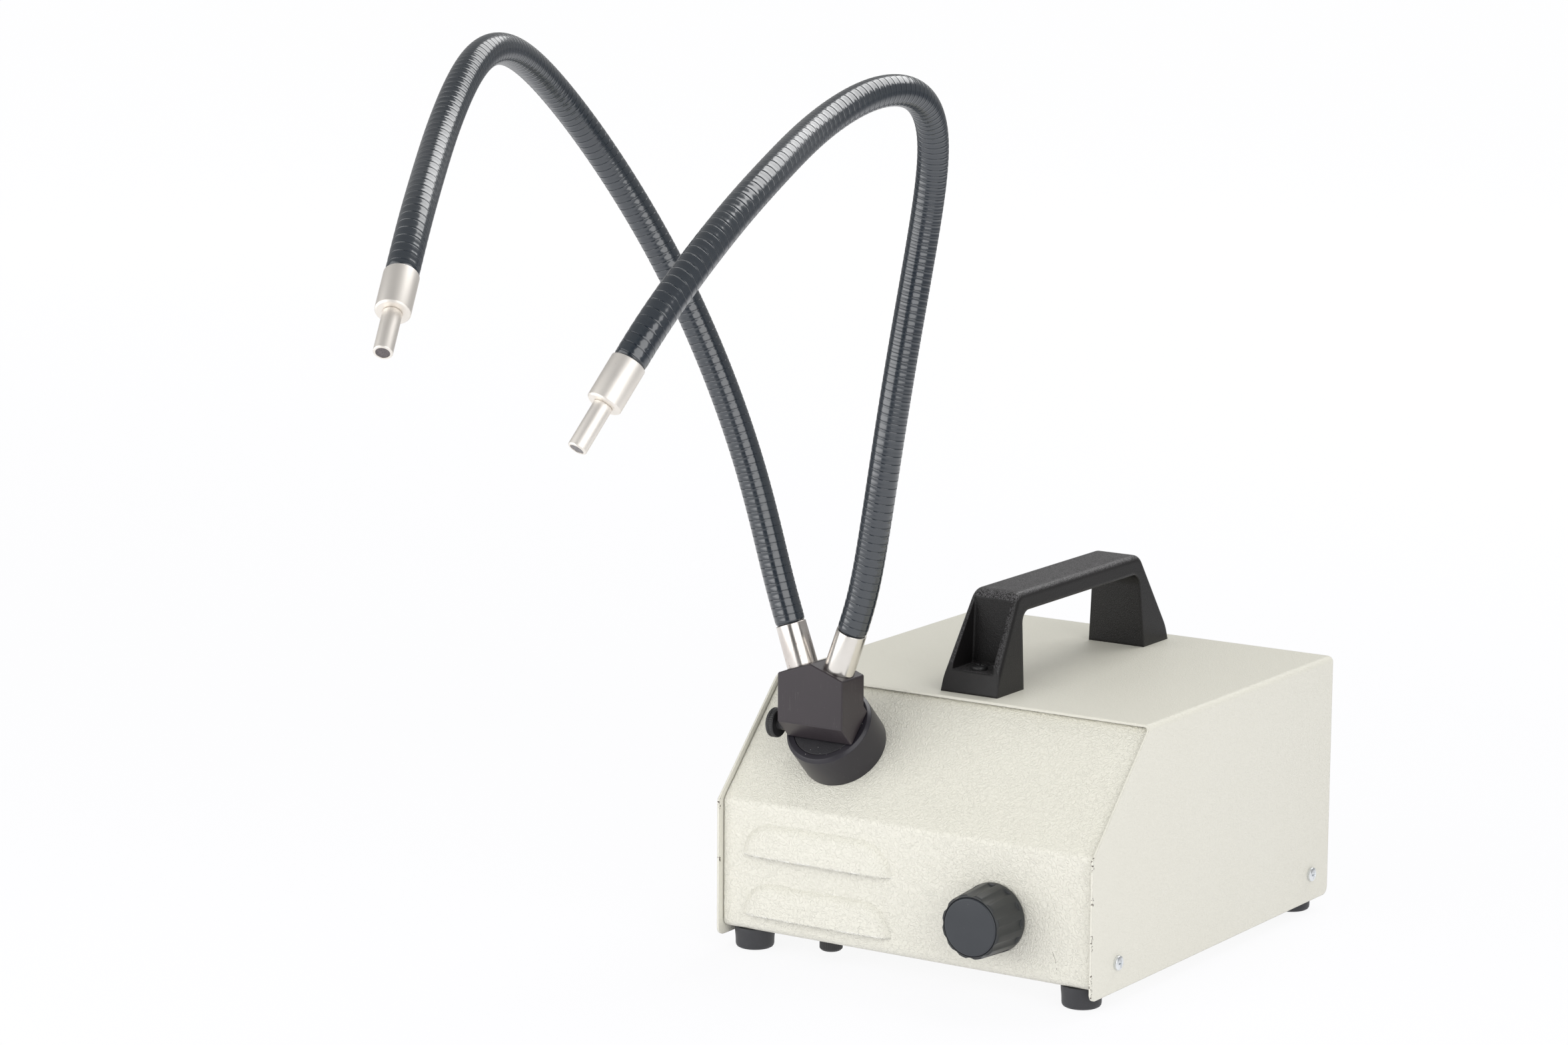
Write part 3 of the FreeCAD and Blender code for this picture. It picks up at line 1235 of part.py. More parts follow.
# ---- transformer and board ----
def make_transformer():
    wide, tall, stack = size("coreWide"), size("coreTall"), size("coreStack")
    limb = size("coreLimb")
    core = new_body("transformer_core")
    plates = new_sketch(core, "XZ")
    rectangle(plates, -wide / 2, 0, wide / 2, tall)
    for side in (-1, 1):
        left, right = sorted((side * limb, side * (wide / 2 - limb)), key=lambda v: v.number)
        rectangle(plates, left, limb, right, tall - limb)
    pad(core, plates, stack, both=True)
    place(core, core_x, size("coreY"), floor_z)
    part(core, "transformer_core")

    winding = new_body("transformer_winding")
    gap = size("windingGap")
    coil = new_sketch(winding, "XY", limb + gap)
    outer_x, outer_y = wide / 2 - limb - gap, stack / 2 + size("windingOver")
    rectangle(coil, -outer_x, -outer_y, outer_x, outer_y)
    rectangle(coil, -limb - gap, -stack / 2 - gap, limb + gap, stack / 2 + gap)
    pad(winding, coil, tall - 2 * (limb + gap))
    dress(winding, "Fillet", size("windingRound"), lambda e: runs_along(e, "z") and all(
        same(abs(v.Point.y), outer_y) for v in e.Vertexes))
    place(winding, core_x, size("coreY"), floor_z)
    part(winding, "transformer_winding")

    strap = new_body("transformer_strap")
    thick, toe = size("strapSheet"), size("strapFoot")
    span = wide / 2
    outline = new_sketch(strap, "XZ")
    polygon(outline, [
        (-span - toe - thick, 0), (-span, 0), (-span, tall), (span, tall), (span, 0),
        (span + toe + thick, 0), (span + toe + thick, thick), (span + thick, thick),
        (span + thick, tall + thick), (-span - thick, tall + thick), (-span - thick, thick),
        (-span - toe - thick, thick)])
    pad(strap, outline, stack * 0.6, both=True)
    holes = new_sketch(strap, "XY")
    for x, _ in strap_spots():
        circle(holes, x - core_x, 0, size("screwShank") + size("fit"))
    cut(strap, holes, thick * 2)
    place(strap, core_x, size("coreY"), floor_z)
    part(strap, "transformer_strap")

    screw = make_screw("strap_screw", size("screwHead"), size("screwHeadTall"), size("screwShank"),
                       size("strapScrewLong"))
    copies("strap_screws", screw, [at(x, y, floor_z + thick) for x, y in strap_spots()])


def make_board():
    board = new_body("dimmer_board")
    plate = new_sketch(board, "XY")
    wide, long = size("boardWide") / 2, size("boardLong") / 2
    rectangle(plate, -wide, -long, wide, long)
    for x, y in spacer_spots():
        circle(plate, x - board_x, y - size("boardY"), size("screwShank") + size("fit"))
    pad(board, plate, size("boardThick"))
    place(board, board_x, size("boardY"), floor_z + size("spacerTall"))
    part(board, "dimmer_board")

    stem, tall = size("screwShank"), size("spacerTall")
    tip = tall + size("boardThick") + size("spacerTip")
    spacer = turned("board_spacer", [
        (0, -wall), (stem, -wall), (stem, 0), (size("spacerRadius"), 0),
        (size("spacerRadius"), tall), (stem, tall), (stem, tip), (0, tip)])
    copies("board_spacers", spacer, [at(x, y, floor_z) for x, y in spacer_spots()])

    sink = new_body("heat_sink")
    comb = new_sketch(sink, "XZ")
    half, base, top = size("sinkWide") / 2, size("sinkBase"), size("sinkTall")
    thick, count = size("finThick"), int(size("finCount").number)
    pitch = (size("sinkWide") - thick) / (count - 1)
    corners = [(-half, 0), (half, 0), (half, top)]
    for i in range(count - 1, 0, -1):
        edge = -half + pitch * i
        corners += [(edge, top), (edge, base), (edge - pitch + thick, base), (edge - pitch + thick, top)]
    polygon(comb, corners + [(-half, top)])
    pad(sink, comb, size("sinkLong"), both=True)
    place(sink, board_x, size("boardY") + size("sinkBack"), floor_z + tall + size("boardThick"))
    part(sink, "heat_sink")


make_cover()
make_chassis()
make_cover_screws()
make_feet()
make_handle()
make_handle_screws()
make_knob()
make_dimmer()
make_collar()
make_block()
make_guide_pieces()
make_gooseneck(-1, "left")
make_gooseneck(1, "right")
make_lamp_tray()
make_lamp()
make_tray_screw()
make_fan()
make_rear_screws()
make_inlet()
make_transformer()
make_board()
document.recompute()

broken = [o.Name for o in document.Objects if {"Invalid", "Error"} & set(o.State)]
if broken:
    raise RuntimeError(f"failed features: {broken}")
os.makedirs("parts", exist_ok=True)
for thing in subparts:
    shape = thing.Shape
    if shape.isNull() or not shape.isValid() or not shape.Solids:
        raise RuntimeError(f"{thing.Label} has no valid solid")
    shape.exportStep(f"parts/{thing.Label}.step")
print(len(subparts), "sub-parts")
print("beam axis through", [round(v.number, 3) for v in (collar_x, beam_y, beam_z)],
      "along", [0, round(-slope_cos.number, 5), round(slope_sin.number, 5)])
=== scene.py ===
import math

import bmesh
import bpy
import numpy as np
from mathutils import Matrix, Vector


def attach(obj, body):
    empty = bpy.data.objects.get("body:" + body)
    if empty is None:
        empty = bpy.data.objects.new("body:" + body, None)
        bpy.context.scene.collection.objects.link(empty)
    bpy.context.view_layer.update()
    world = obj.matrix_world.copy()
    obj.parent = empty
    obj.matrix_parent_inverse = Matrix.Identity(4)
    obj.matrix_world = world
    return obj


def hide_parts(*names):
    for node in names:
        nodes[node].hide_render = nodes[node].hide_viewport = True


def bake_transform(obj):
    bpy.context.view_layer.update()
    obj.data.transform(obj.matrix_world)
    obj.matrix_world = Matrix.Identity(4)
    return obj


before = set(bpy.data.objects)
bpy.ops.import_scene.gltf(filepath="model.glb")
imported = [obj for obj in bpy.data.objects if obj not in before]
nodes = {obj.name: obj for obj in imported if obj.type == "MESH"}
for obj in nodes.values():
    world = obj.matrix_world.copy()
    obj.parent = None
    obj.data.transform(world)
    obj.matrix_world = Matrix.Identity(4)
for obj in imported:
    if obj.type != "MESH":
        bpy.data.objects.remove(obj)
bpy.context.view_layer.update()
print("frame loaded,", len(nodes), "solids")


# ---- meshes ----
def meshPiece(name, points, faces, sharpAbove=38, weld=False):
    mesh = bpy.data.meshes.new(name)
    mesh.from_pydata(points.tolist(), [], faces)
    if weld:
        skin = bmesh.new()
        skin.from_mesh(mesh)
        bmesh.ops.remove_doubles(skin, verts=skin.verts, dist=1e-7)
        skin.to_mesh(mesh)
        skin.free()
    mesh.shade_smooth()
    mesh.set_sharp_from_angle(angle=math.radians(sharpAbove))
    piece = bpy.data.objects.new(name, mesh)
    bpy.context.scene.collection.objects.link(piece)
    return piece


# Rows of points run along a piece and columns go round it. The first and last rows close on
# their own middles, or on each other where the piece is a ring. Where the rows climb as they go
# round, the last column meets the first one `lag` rows further back.
def tubePiece(name, grid, ring=False, lag=0):
    rows, cols = grid.shape[:2]
    here = np.arange(rows * cols).reshape(rows, cols)
    beside = np.roll(here, -1, axis=1)
    beside[:, -1] = here[np.maximum(np.arange(rows) - lag, 0), 0]
    ahead, aheadBeside = np.roll(here, -1, axis=0), np.roll(beside, -1, axis=0)
    faces = np.stack([here, beside, aheadBeside, ahead], axis=-1)
    faces = (faces if ring else faces[:-1]).reshape(-1, 4).tolist()
    points = grid.reshape(-1, 3)
    if not ring:
        points = np.vstack([points, grid[0].mean(axis=0), grid[-1].mean(axis=0)])
        start, end = np.full(cols, rows * cols), np.full(cols, rows * cols + 1)
        faces += np.stack([beside[0], here[0], start], axis=-1).tolist()
        faces += np.stack([here[-1], beside[-1], end], axis=-1).tolist()
    return meshPiece(name, points, faces, weld=lag > 0)


def mergePieces(name, pieces):
    with bpy.context.temp_override(active_object=pieces[0], selected_editable_objects=pieces):
        bpy.ops.object.join()
    pieces[0].name = pieces[0].data.name = name
    return pieces[0]


# Two directions square to an axis; the first points as far upward as it can.
def squareTo(axis):
    axis = np.asarray(axis, float) / np.linalg.norm(axis)
    guide = np.array([0.0, 0, 1])
    if abs(axis @ guide) > 0.95:  # nearly upright, so upward would say nothing
        guide = np.array([1.0, 0, 0])
    first = guide - axis * (guide @ axis)
    first /= np.linalg.norm(first)
    return first, np.cross(axis, first), axis


# Every corner of a profile becomes a short curve: (1-t)^2 a + 2t(1-t) corner + t^2 b, where a and
# b lie `soft` along its two sides. A corner may bring its own softness as a third number.
def softened(profile, soft, ring, steps=5):
    corners = np.array([corner[:2] for corner in profile], float)
    soft = np.array([[corner[2] if len(corner) > 2 else soft] for corner in profile], float)
    before, after = np.roll(corners, 1, axis=0), np.roll(corners, -1, axis=0)
    if not ring:
        before[0], after[-1] = corners[0], corners[-1]

    def toward(other):
        gap = other - corners
        length = np.maximum(np.linalg.norm(gap, axis=1, keepdims=True), 1e-9)
        return gap / length * np.minimum(soft, length * 0.45)

    a, b = corners + toward(before), corners + toward(after)
    t = np.linspace(0, 1, steps)[None, :, None]
    curve = (1 - t) ** 2 * a[:, None] + 2 * t * (1 - t) * corners[:, None] + t ** 2 * b[:, None]
    return curve.reshape(-1, 2)


# A profile of (radius, height) turned about an axis: middle + height axis + radius (cos, sin).
# reshape(radii, heights, angles) may change both, for flutes, knurls and recesses.
def turnedPiece(name, profile, middle, axis, around=96, soft=0.0003, ring=False, reshape=None):
    rows = softened(profile, soft, ring) if soft else np.array(profile, float)
    angles = np.linspace(0, 2 * math.pi, around, endpoint=False)
    radius, height = np.repeat(rows[:, :1], around, 1), np.repeat(rows[:, 1:2], around, 1)
    if reshape:
        radius, height = reshape(radius, height, angles[None, :])
    first, second, axis = squareTo(axis)
    across, up = radius * np.cos(angles), radius * np.sin(angles)
    grid = (np.asarray(middle, float) + height[..., None] * axis + across[..., None] * first
            + up[..., None] * second)
    return tubePiece(name, grid, ring)


# ---- shader nodes ----
# Adds a node and returns one of its outputs. An input is given a value or another node's output.
def addNode(tree, kind, inputs=None, out=0, **settings):
    node = tree.nodes.new("ShaderNode" + kind)
    for key, value in settings.items():
        setattr(node, key, value)
    for label, value in (inputs or {}).items():
        if isinstance(value, bpy.types.NodeSocket):
            tree.links.new(value, node.inputs[label])
        else:
            node.inputs[label].default_value = value
    return node.outputs[out] if len(node.outputs) else node


def mathNode(tree, operation, a, b=0.0):
    return addNode(tree, "Math", {0: a, 1: b}, operation=operation)


def mapped(tree, value, low, high, toLow=0.0, toHigh=1.0):
    return addNode(tree, "MapRange", {0: value, 1: low, 2: high, 3: toLow, 4: toHigh})


def blendColors(tree, factor, a, b):
    return addNode(tree, "Mix", {0: factor, 6: a, 7: b}, out=2, data_type="RGBA")


def newGroup(name, inputs, *outputs):
    tree = bpy.data.node_groups.new(name, "ShaderNodeTree")
    for label, value in inputs.items():
        socket = tree.interface.new_socket(label, in_out="INPUT", socket_type="NodeSocketFloat")
        socket.default_value = value
    for label in outputs:
        tree.interface.new_socket(label, in_out="OUTPUT", socket_type="NodeSocketFloat")
    given = tree.nodes.new("NodeGroupInput").outputs
    result = tree.nodes.new("NodeGroupOutput").inputs
    return tree, given, result


def useGroup(tree, name, out=0, **inputs):
    return addNode(tree, "Group", inputs, out, node_tree=bpy.data.node_groups[name])


def objectPlace(tree):
    return addNode(tree, "TexCoord", out=3)


def stretched(tree, x, y, z):
    scale = addNode(tree, "CombineXYZ", {0: x, 1: y, 2: z})
    return addNode(tree, "VectorMath", {0: objectPlace(tree), 1: scale}, operation="MULTIPLY")


def grainGroup():
    # a fine bumpy skin, and a slow drift of tone over it
    tree, given, result = newGroup("grain", {"Scale": 900.0, "Drift": 12.0}, "Height", "Tone")
    place = objectPlace(tree)
    fine = addNode(tree, "TexNoise", {"Vector": place, "Scale": given["Scale"], "Detail": 2.5})
    broad = addNode(tree, "TexNoise", {"Vector": place, "Scale": given["Drift"], "Detail": 3.0})
    tree.links.new(fine, result["Height"])
    tree.links.new(broad, result["Tone"])


def wrinkleGroup():
    # short worm-like ridges: 1 - |2 n - 1| of one noise, over a finer one
    tree, given, result = newGroup("wrinkle", {"Scale": 600.0, "Ridge": 0.5}, "Height")
    place = objectPlace(tree)
    noise = addNode(tree, "TexNoise", {"Vector": place, "Scale": given["Scale"], "Detail": 1.0,
                                       "Distortion": 0.6})
    fine = addNode(tree, "TexNoise", {"Vector": place, "Detail": 1.0,
                                      "Scale": mathNode(tree, "MULTIPLY", given["Scale"], 2.2)})
    off = mathNode(tree, "ABSOLUTE", mathNode(tree, "SUBTRACT", noise, 0.5))
    ridge = mapped(tree, off, 0.0, 0.12, 1.0, 0.0)
    both = addNode(tree, "Mix", {0: given["Ridge"], 2: fine, 3: ridge})
    tree.links.new(both, result["Height"])


def rubbedAndLitEdgesGroup():
    # 1 - (rounded normal . true normal), broken up by noise: a lighter tone on edges, which is worn
    # edges on some finishes and painted highlights on the chassis, handle and block
    tree, given, result = newGroup("rubbedAndLitEdges", {"Radius": 0.0006, "Low": 0.04, "High": 0.2,
                                                "Patches": 60.0}, "Mask")
    rounded = addNode(tree, "Bevel", {"Radius": given["Radius"]}, samples=6)
    true = addNode(tree, "NewGeometry", out=1)
    likeness = addNode(tree, "VectorMath", {0: rounded, 1: true}, out=1, operation="DOT_PRODUCT")
    patches = addNode(tree, "TexNoise", {"Vector": objectPlace(tree), "Scale": given["Patches"],
                                         "Detail": 4.0})
    broad = addNode(tree, "TexNoise", {"Vector": objectPlace(tree), "Detail": 1.0,
                                       "Scale": mathNode(tree, "MULTIPLY", given["Patches"], 0.15)})
    rubbedAndLitPatches = mathNode(tree, "MULTIPLY", mapped(tree, patches, 0.42, 0.66),
                    mapped(tree, broad, 0.4, 0.6))
    edge = mathNode(tree, "MULTIPLY", mathNode(tree, "SUBTRACT", 1.0, likeness), rubbedAndLitPatches)
    tree.links.new(mapped(tree, edge, given["Low"], given["High"]), result["Mask"])


def specksGroup():
    # small round marks, of which only a share shows; dust is the same, on what faces up, and so is a
    # painted sheen on the handle's top
    tree, given, result = newGroup("specks", {"Scale": 160.0, "Size": 0.08, "Share": 0.1,
                                              "Lying": 0.0}, "Mask")
    cells = tree.nodes.new("ShaderNodeTexVoronoi")
    tree.links.new(objectPlace(tree), cells.inputs["Vector"])
    tree.links.new(given["Scale"], cells.inputs["Scale"])
    chance = addNode(tree, "SeparateColor", {0: cells.outputs["Color"]})
    size = mathNode(tree, "MULTIPLY", given["Size"],
                    mapped(tree, chance, 0.0, given["Share"], 0.4, 1.0))
    marked = mathNode(tree, "MULTIPLY", mathNode(tree, "LESS_THAN", chance, given["Share"]),
                      mathNode(tree, "LESS_THAN", cells.outputs["Distance"], size))
    normal = addNode(tree, "SeparateXYZ", {0: addNode(tree, "NewGeometry", out=1)}, out=2)
    facesUp = mapped(tree, normal, 0.3, 0.7)
    kept = addNode(tree, "Mix", {0: given["Lying"], 2: 1.0, 3: facesUp})
    tree.links.new(mathNode(tree, "MULTIPLY", marked, kept), result["Mask"])


def hairlinesGroup():
    # thin marks where stretched noise passes through its middle value
    tree, given, result = newGroup("hairlines", {"Scale": 40.0, "StretchX": 1.0, "StretchY": 14.0,
                                                 "StretchZ": 14.0, "Width": 0.006, "Shown": 0.6},
                                   "Mask")
    drawn = stretched(tree, given["StretchX"], given["StretchY"], given["StretchZ"])
    noise = addNode(tree, "TexNoise", {"Vector": drawn, "Scale": given["Scale"], "Detail": 1.0})
    off = mathNode(tree, "ABSOLUTE", mathNode(tree, "SUBTRACT", noise, 0.5))
    where = addNode(tree, "TexNoise", {"Vector": objectPlace(tree), "Scale": given["Scale"]})
    shown = mathNode(tree, "MULTIPLY", mathNode(tree, "LESS_THAN", off, given["Width"]),
                     mathNode(tree, "GREATER_THAN", where, given["Shown"]))
    tree.links.new(shown, result["Mask"])


def frontChipsGroup():
    # small bare spots on whatever lies in front of y = Edge, in a few places only
    tree, given, result = newGroup("frontChips", {"Scale": 800.0, "Edge": -0.128}, "Mask")
    noise = addNode(tree, "TexNoise", {"Vector": objectPlace(tree), "Scale": given["Scale"],
                                       "Detail": 2.0})
    where = addNode(tree, "TexNoise", {"Vector": objectPlace(tree), "Scale": 70.0, "Detail": 1.0})
    inFront = mathNode(tree, "LESS_THAN", addNode(tree, "SeparateXYZ", {0: objectPlace(tree)}, out=1),
                       given["Edge"])
    some = mathNode(tree, "MULTIPLY", mathNode(tree, "GREATER_THAN", noise, 0.58),
                    mathNode(tree, "GREATER_THAN", where, 0.52))
    tree.links.new(mathNode(tree, "MULTIPLY", some, inFront), result["Mask"])


def scratchGroup():
    # one thin curved mark on the front: |x - X - Lean (1 - t^2)| < Width, with t = (z - Z) / Long
    tree, given, result = newGroup("scratch", {"X": 0.0, "Z": 0.0, "Long": 0.01, "Lean": 0.003,
                                               "Width": 0.00013}, "Mask")
    parts = addNode(tree, "SeparateXYZ", {0: objectPlace(tree)}, out=0).node.outputs
    t = mathNode(tree, "DIVIDE", mathNode(tree, "SUBTRACT", parts[2], given["Z"]), given["Long"])
    bow = mathNode(tree, "SUBTRACT", 1.0, mathNode(tree, "MULTIPLY", t, t))
    middle = mathNode(tree, "ADD", given["X"], mathNode(tree, "MULTIPLY", bow, given["Lean"]))
    off = mathNode(tree, "ABSOLUTE", mathNode(tree, "SUBTRACT", parts[0], middle))
    broken = addNode(tree, "TexNoise", {"Vector": objectPlace(tree), "Scale": 700.0, "Detail": 1.0})
    mask = mathNode(tree, "MULTIPLY", mathNode(tree, "LESS_THAN", off, given["Width"]),
                    mathNode(tree, "GREATER_THAN", broken, 0.42))
    for test in (mathNode(tree, "GREATER_THAN", t, 0.0), mathNode(tree, "LESS_THAN", t, 1.0),
                 mathNode(tree, "LESS_THAN", parts[1], -0.12)):
        mask = mathNode(tree, "MULTIPLY", mask, test)
    tree.links.new(mask, result["Mask"])


for makeGroup in (grainGroup, wrinkleGroup, rubbedAndLitEdgesGroup, specksGroup, hairlinesGroup,
                  frontChipsGroup, scratchGroup):
    makeGroup()


def newMaterial(name, **sockets):
    material = bpy.data.materials.new(name)
    material.use_nodes = True
    shader = material.node_tree.nodes["Principled BSDF"].inputs
    for label, value in sockets.items():
        shader[label.replace("_", " ")].default_value = value
    return material, material.node_tree, shader


finishes = {}
bareSheet, scratchTone = (0.13, 0.11, 0.09, 1), (0.2, 0.18, 0.15, 1)


# A finish: two tones that drift into each other, a skin with bumps, marks and lighter edges (worn
# edges, and painted highlights on some finishes). A mark is (colour, strength, settings of its specks),
# and lines are the same with those of hairlines; some marks are painted glints and painted sheen.
def finish(name, color, other, rough, skin="grain", grain=900.0, bump=0.00003, drift=12.0, ridge=0.5,
           edge=0.0, rubbedAndLitEdge=None, reach=(0.04, 0.2), patches=60.0, marks=(), lines=None, chips=None,
           scratch=None, **sockets):
    material, tree, shader = newMaterial(name, **sockets)
    tone = useGroup(tree, "grain", 1, Scale=grain, Drift=drift)
    tint = blendColors(tree, mapped(tree, tone, 0.3, 0.7), (*color, 1), (*other, 1))
    roughness = mapped(tree, tone, 0.25, 0.75, *rough)
    if lines:
        lineColor, strength, setting = lines
        mask = useGroup(tree, "hairlines", 0, **setting)
        tint = blendColors(tree, mathNode(tree, "MULTIPLY", mask, strength), tint, (*lineColor, 1))
    for markColor, strength, setting in marks:
        mask = useGroup(tree, "specks", 0, **setting)
        tint = blendColors(tree, mathNode(tree, "MULTIPLY", mask, strength), tint, (*markColor, 1))
    if chips:
        mask = useGroup(tree, "frontChips", 0, Edge=chips)
        tint = blendColors(tree, mask, tint, bareSheet)
    if scratch:
        mask = useGroup(tree, "scratch", 0, **scratch)
        tint = blendColors(tree, mask, tint, scratchTone)
    # lighter edges: worn edges on some finishes, painted highlights on the chassis, handle and block
    if rubbedAndLitEdge:
        mask = useGroup(tree, "rubbedAndLitEdges", 0, Radius=edge * 1.5, Low=reach[0], High=reach[1],
                        Patches=patches)
        tint = blendColors(tree, mask, tint, (*rubbedAndLitEdge, 1))
    tree.links.new(tint, shader["Base Color"])
    tree.links.new(roughness, shader["Roughness"])
    if skin == "wrinkle":
        height = useGroup(tree, "wrinkle", 0, Scale=grain, Ridge=ridge)
    else:
        height = useGroup(tree, "grain", 0, Scale=grain, Drift=drift)
    bumps = {"Height": height, "Distance": bump, "Strength": 1.0}
    if edge:
        bumps["Normal"] = addNode(tree, "Bevel", {"Radius": edge}, samples=6)
    tree.links.new(addNode(tree, "Bump", bumps), shader["Normal"])
    finishes[name] = material


# dust specks on what faces up; on the handle they also lighten the top as a painted sheen
dustAndTopSheen = ((0.42, 0.41, 0.39), 0.8, {"Scale": 900.0, "Size": 0.2, "Share": 0.06, "Lying": 1.0})
fineDust = ((0.3, 0.3, 0.3), 0.5, {"Scale": 1500.0, "Size": 0.2, "Share": 0.03})
verticalLines = {"Scale": 60.0, "StretchX": 12.0, "StretchY": 12.0, "StretchZ": 0.7, "Width": 0.006,
                 "Shown": 0.52}
rubbedLines = {"Scale": 22.0, "StretchX": 0.5, "StretchY": 8.0, "StretchZ": 9.0, "Width": 0.0012,
               "Shown": 0.62}
finish("creamPaint", (0.725, 0.71, 0.622), (0.71, 0.693, 0.604), (0.4, 0.48), skin="wrinkle",
       grain=560.0, bump=0.0002, drift=7.0, ridge=0.35, edge=0.0008, chips=-0.1286,
       marks=[((0.3, 0.24, 0.18), 0.8, {"Scale": 55.0, "Size": 0.035, "Share": 0.05}),
              # the pale specks are painted glints on the paint's texture
              ((0.86, 0.85, 0.8), 0.7, {"Scale": 420.0, "Size": 0.12, "Share": 0.05})])
finish("creamWrinkle", (0.728, 0.713, 0.626), (0.716, 0.699, 0.61), (0.34, 0.44), skin="wrinkle",
       # the pale edge tone here is a painted highlight along the folds and louvre edges
       grain=560.0, bump=0.00045, drift=9.0, ridge=0.4, edge=0.0016, rubbedAndLitEdge=(0.86, 0.85, 0.79),
       reach=(0.015, 0.1), patches=420.0,
       scratch={"X": 0.0866, "Z": 0.0185, "Long": 0.0135, "Lean": 0.0045},
       marks=[((0.36, 0.33, 0.28), 0.6, {"Scale": 48.0, "Size": 0.03, "Share": 0.1}),
              # the pale specks are painted glints on the wrinkle finish
              ((0.88, 0.87, 0.83), 0.8, {"Scale": 480.0, "Size": 0.14, "Share": 0.07})],
       lines=((0.55, 0.53, 0.47), 0.5, rubbedLines))
finish("handlePlastic", (0.0045, 0.004, 0.0042), (0.0075, 0.0067, 0.0068), (0.34, 0.44), grain=1500.0,
       # the lighter edge tone here is a painted highlight on the handle's rounded edges
       bump=0.0001, drift=25.0, edge=0.002, Specular_IOR_Level=0.42, rubbedAndLitEdge=(0.075, 0.07, 0.072),
       reach=(0.05, 0.3),
       # the dense grey mark on what faces up is a painted sheen that lightens the handle's top
       marks=[((0.2, 0.194, 0.2), 0.5, {"Scale": 2200.0, "Size": 0.8, "Share": 0.8, "Lying": 1.0}),
              dustAndTopSheen])
finish("knobPlastic", (0.021, 0.023, 0.024), (0.026, 0.028, 0.029), (0.36, 0.46), grain=1500.0,
       bump=0.00002, drift=40.0, edge=0.0005, rubbedAndLitEdge=(0.07, 0.073, 0.076), reach=(0.06, 0.3),
       patches=200.0, marks=[fineDust])
finish("capPlastic", (0.026, 0.03, 0.0355), (0.031, 0.035, 0.041), (0.38, 0.46), grain=1300.0,
       bump=0.000012, drift=60.0,
       marks=[((0.16, 0.17, 0.18), 0.6, {"Scale": 600.0, "Size": 0.14, "Share": 0.04})])
finish("blockAnodised", (0.026, 0.02, 0.0235), (0.03, 0.023, 0.027), (0.3, 0.4), grain=2400.0,
       # the lighter edge tone here is a painted highlight along the block's crisp edges
       bump=0.00001, drift=16.0, edge=0.0005, rubbedAndLitEdge=(0.22, 0.21, 0.21), reach=(0.1, 0.45),
       marks=[dustAndTopSheen, fineDust], lines=((0.075, 0.066, 0.066), 0.45, verticalLines))
finish("collarAnodised", (0.0145, 0.013, 0.018), (0.0175, 0.0155, 0.021), (0.3, 0.38), grain=2400.0,
       bump=0.000008, drift=30.0, marks=[dustAndTopSheen, fineDust])
finish("bushBlack", (0.011, 0.0105, 0.013), (0.02, 0.019, 0.022), (0.34, 0.5), skin="wrinkle",
       grain=900.0, bump=0.00005, drift=80.0, ridge=0.6,
       marks=[((0.5, 0.5, 0.5), 0.8, {"Scale": 1100.0, "Size": 0.2, "Share": 0.06})])
finish("blackScrew", (0.012, 0.012, 0.013), (0.02, 0.02, 0.02), (0.3, 0.45), grain=2200.0, bump=0.00002,
       drift=60.0, marks=[fineDust])
finish("footRubber", (0.027, 0.0275, 0.031), (0.036, 0.0365, 0.04), (0.45, 0.6), grain=1600.0,
       bump=0.00005, drift=60.0,
       marks=[((0.14, 0.13, 0.12), 0.7, {"Scale": 700.0, "Size": 0.2, "Share": 0.1})])
finish("hoseSheath", (0.008, 0.014, 0.0215), (0.0105, 0.017, 0.025), (0.16, 0.26), grain=500.0,
       bump=0.000012, drift=30.0, Coat_Weight=0.5, Coat_Roughness=0.07, Specular_IOR_Level=1.0,
       marks=[((0.22, 0.23, 0.24), 0.6, {"Scale": 500.0, "Size": 0.12, "Share": 0.02})])
finish("nickel", (0.80, 0.77, 0.73), (0.76, 0.725, 0.675), (0.2, 0.3), grain=900.0, bump=0.000001,
       drift=50.0, Metallic=1.0,
       marks=[((0.45, 0.3, 0.27), 0.5, {"Scale": 700.0, "Size": 0.16, "Share": 0.03})])
finish("satinNickel", (0.92, 0.88, 0.83), (0.88, 0.84, 0.785), (0.46, 0.54), grain=900.0,
       bump=0.0000005, drift=60.0, Metallic=1.0,
       marks=[((0.6, 0.5, 0.45), 0.4, {"Scale": 600.0, "Size": 0.12, "Share": 0.03})])
finish("spottedNickel", (0.80, 0.76, 0.72), (0.66, 0.6, 0.56), (0.2, 0.3), grain=900.0, bump=0.000003,
       drift=90.0, Metallic=1.0,
       marks=[((0.34, 0.17, 0.16), 0.7, {"Scale": 800.0, "Size": 0.3, "Share": 0.16})])
finish("zinc", (0.84, 0.86, 0.88), (0.72, 0.745, 0.765), (0.3, 0.4), grain=1600.0, bump=0.00001,
       drift=200.0, Metallic=1.0,
       marks=[((0.2, 0.19, 0.18), 0.7, {"Scale": 1200.0, "Size": 0.2, "Share": 0.06})])
finish("wire", (0.7, 0.7, 0.7), (0.58, 0.58, 0.58), (0.18, 0.3), grain=900.0, bump=0.000005, drift=60.0,
       Metallic=1.0)
finish("steelSheet", (0.55, 0.55, 0.54), (0.45, 0.45, 0.44), (0.3, 0.42), bump=0.00001, drift=30.0,
       edge=0.0004, Metallic=1.0)
finish("castAlloy", (0.6, 0.6, 0.6), (0.5, 0.5, 0.5), (0.28, 0.4), grain=700.0, bump=0.00002,
       drift=30.0, edge=0.0004, Metallic=1.0)
finish("brass", (0.62, 0.47, 0.2), (0.5, 0.36, 0.14), (0.25, 0.36), bump=0.00001, drift=60.0,
       edge=0.0003, Metallic=1.0)
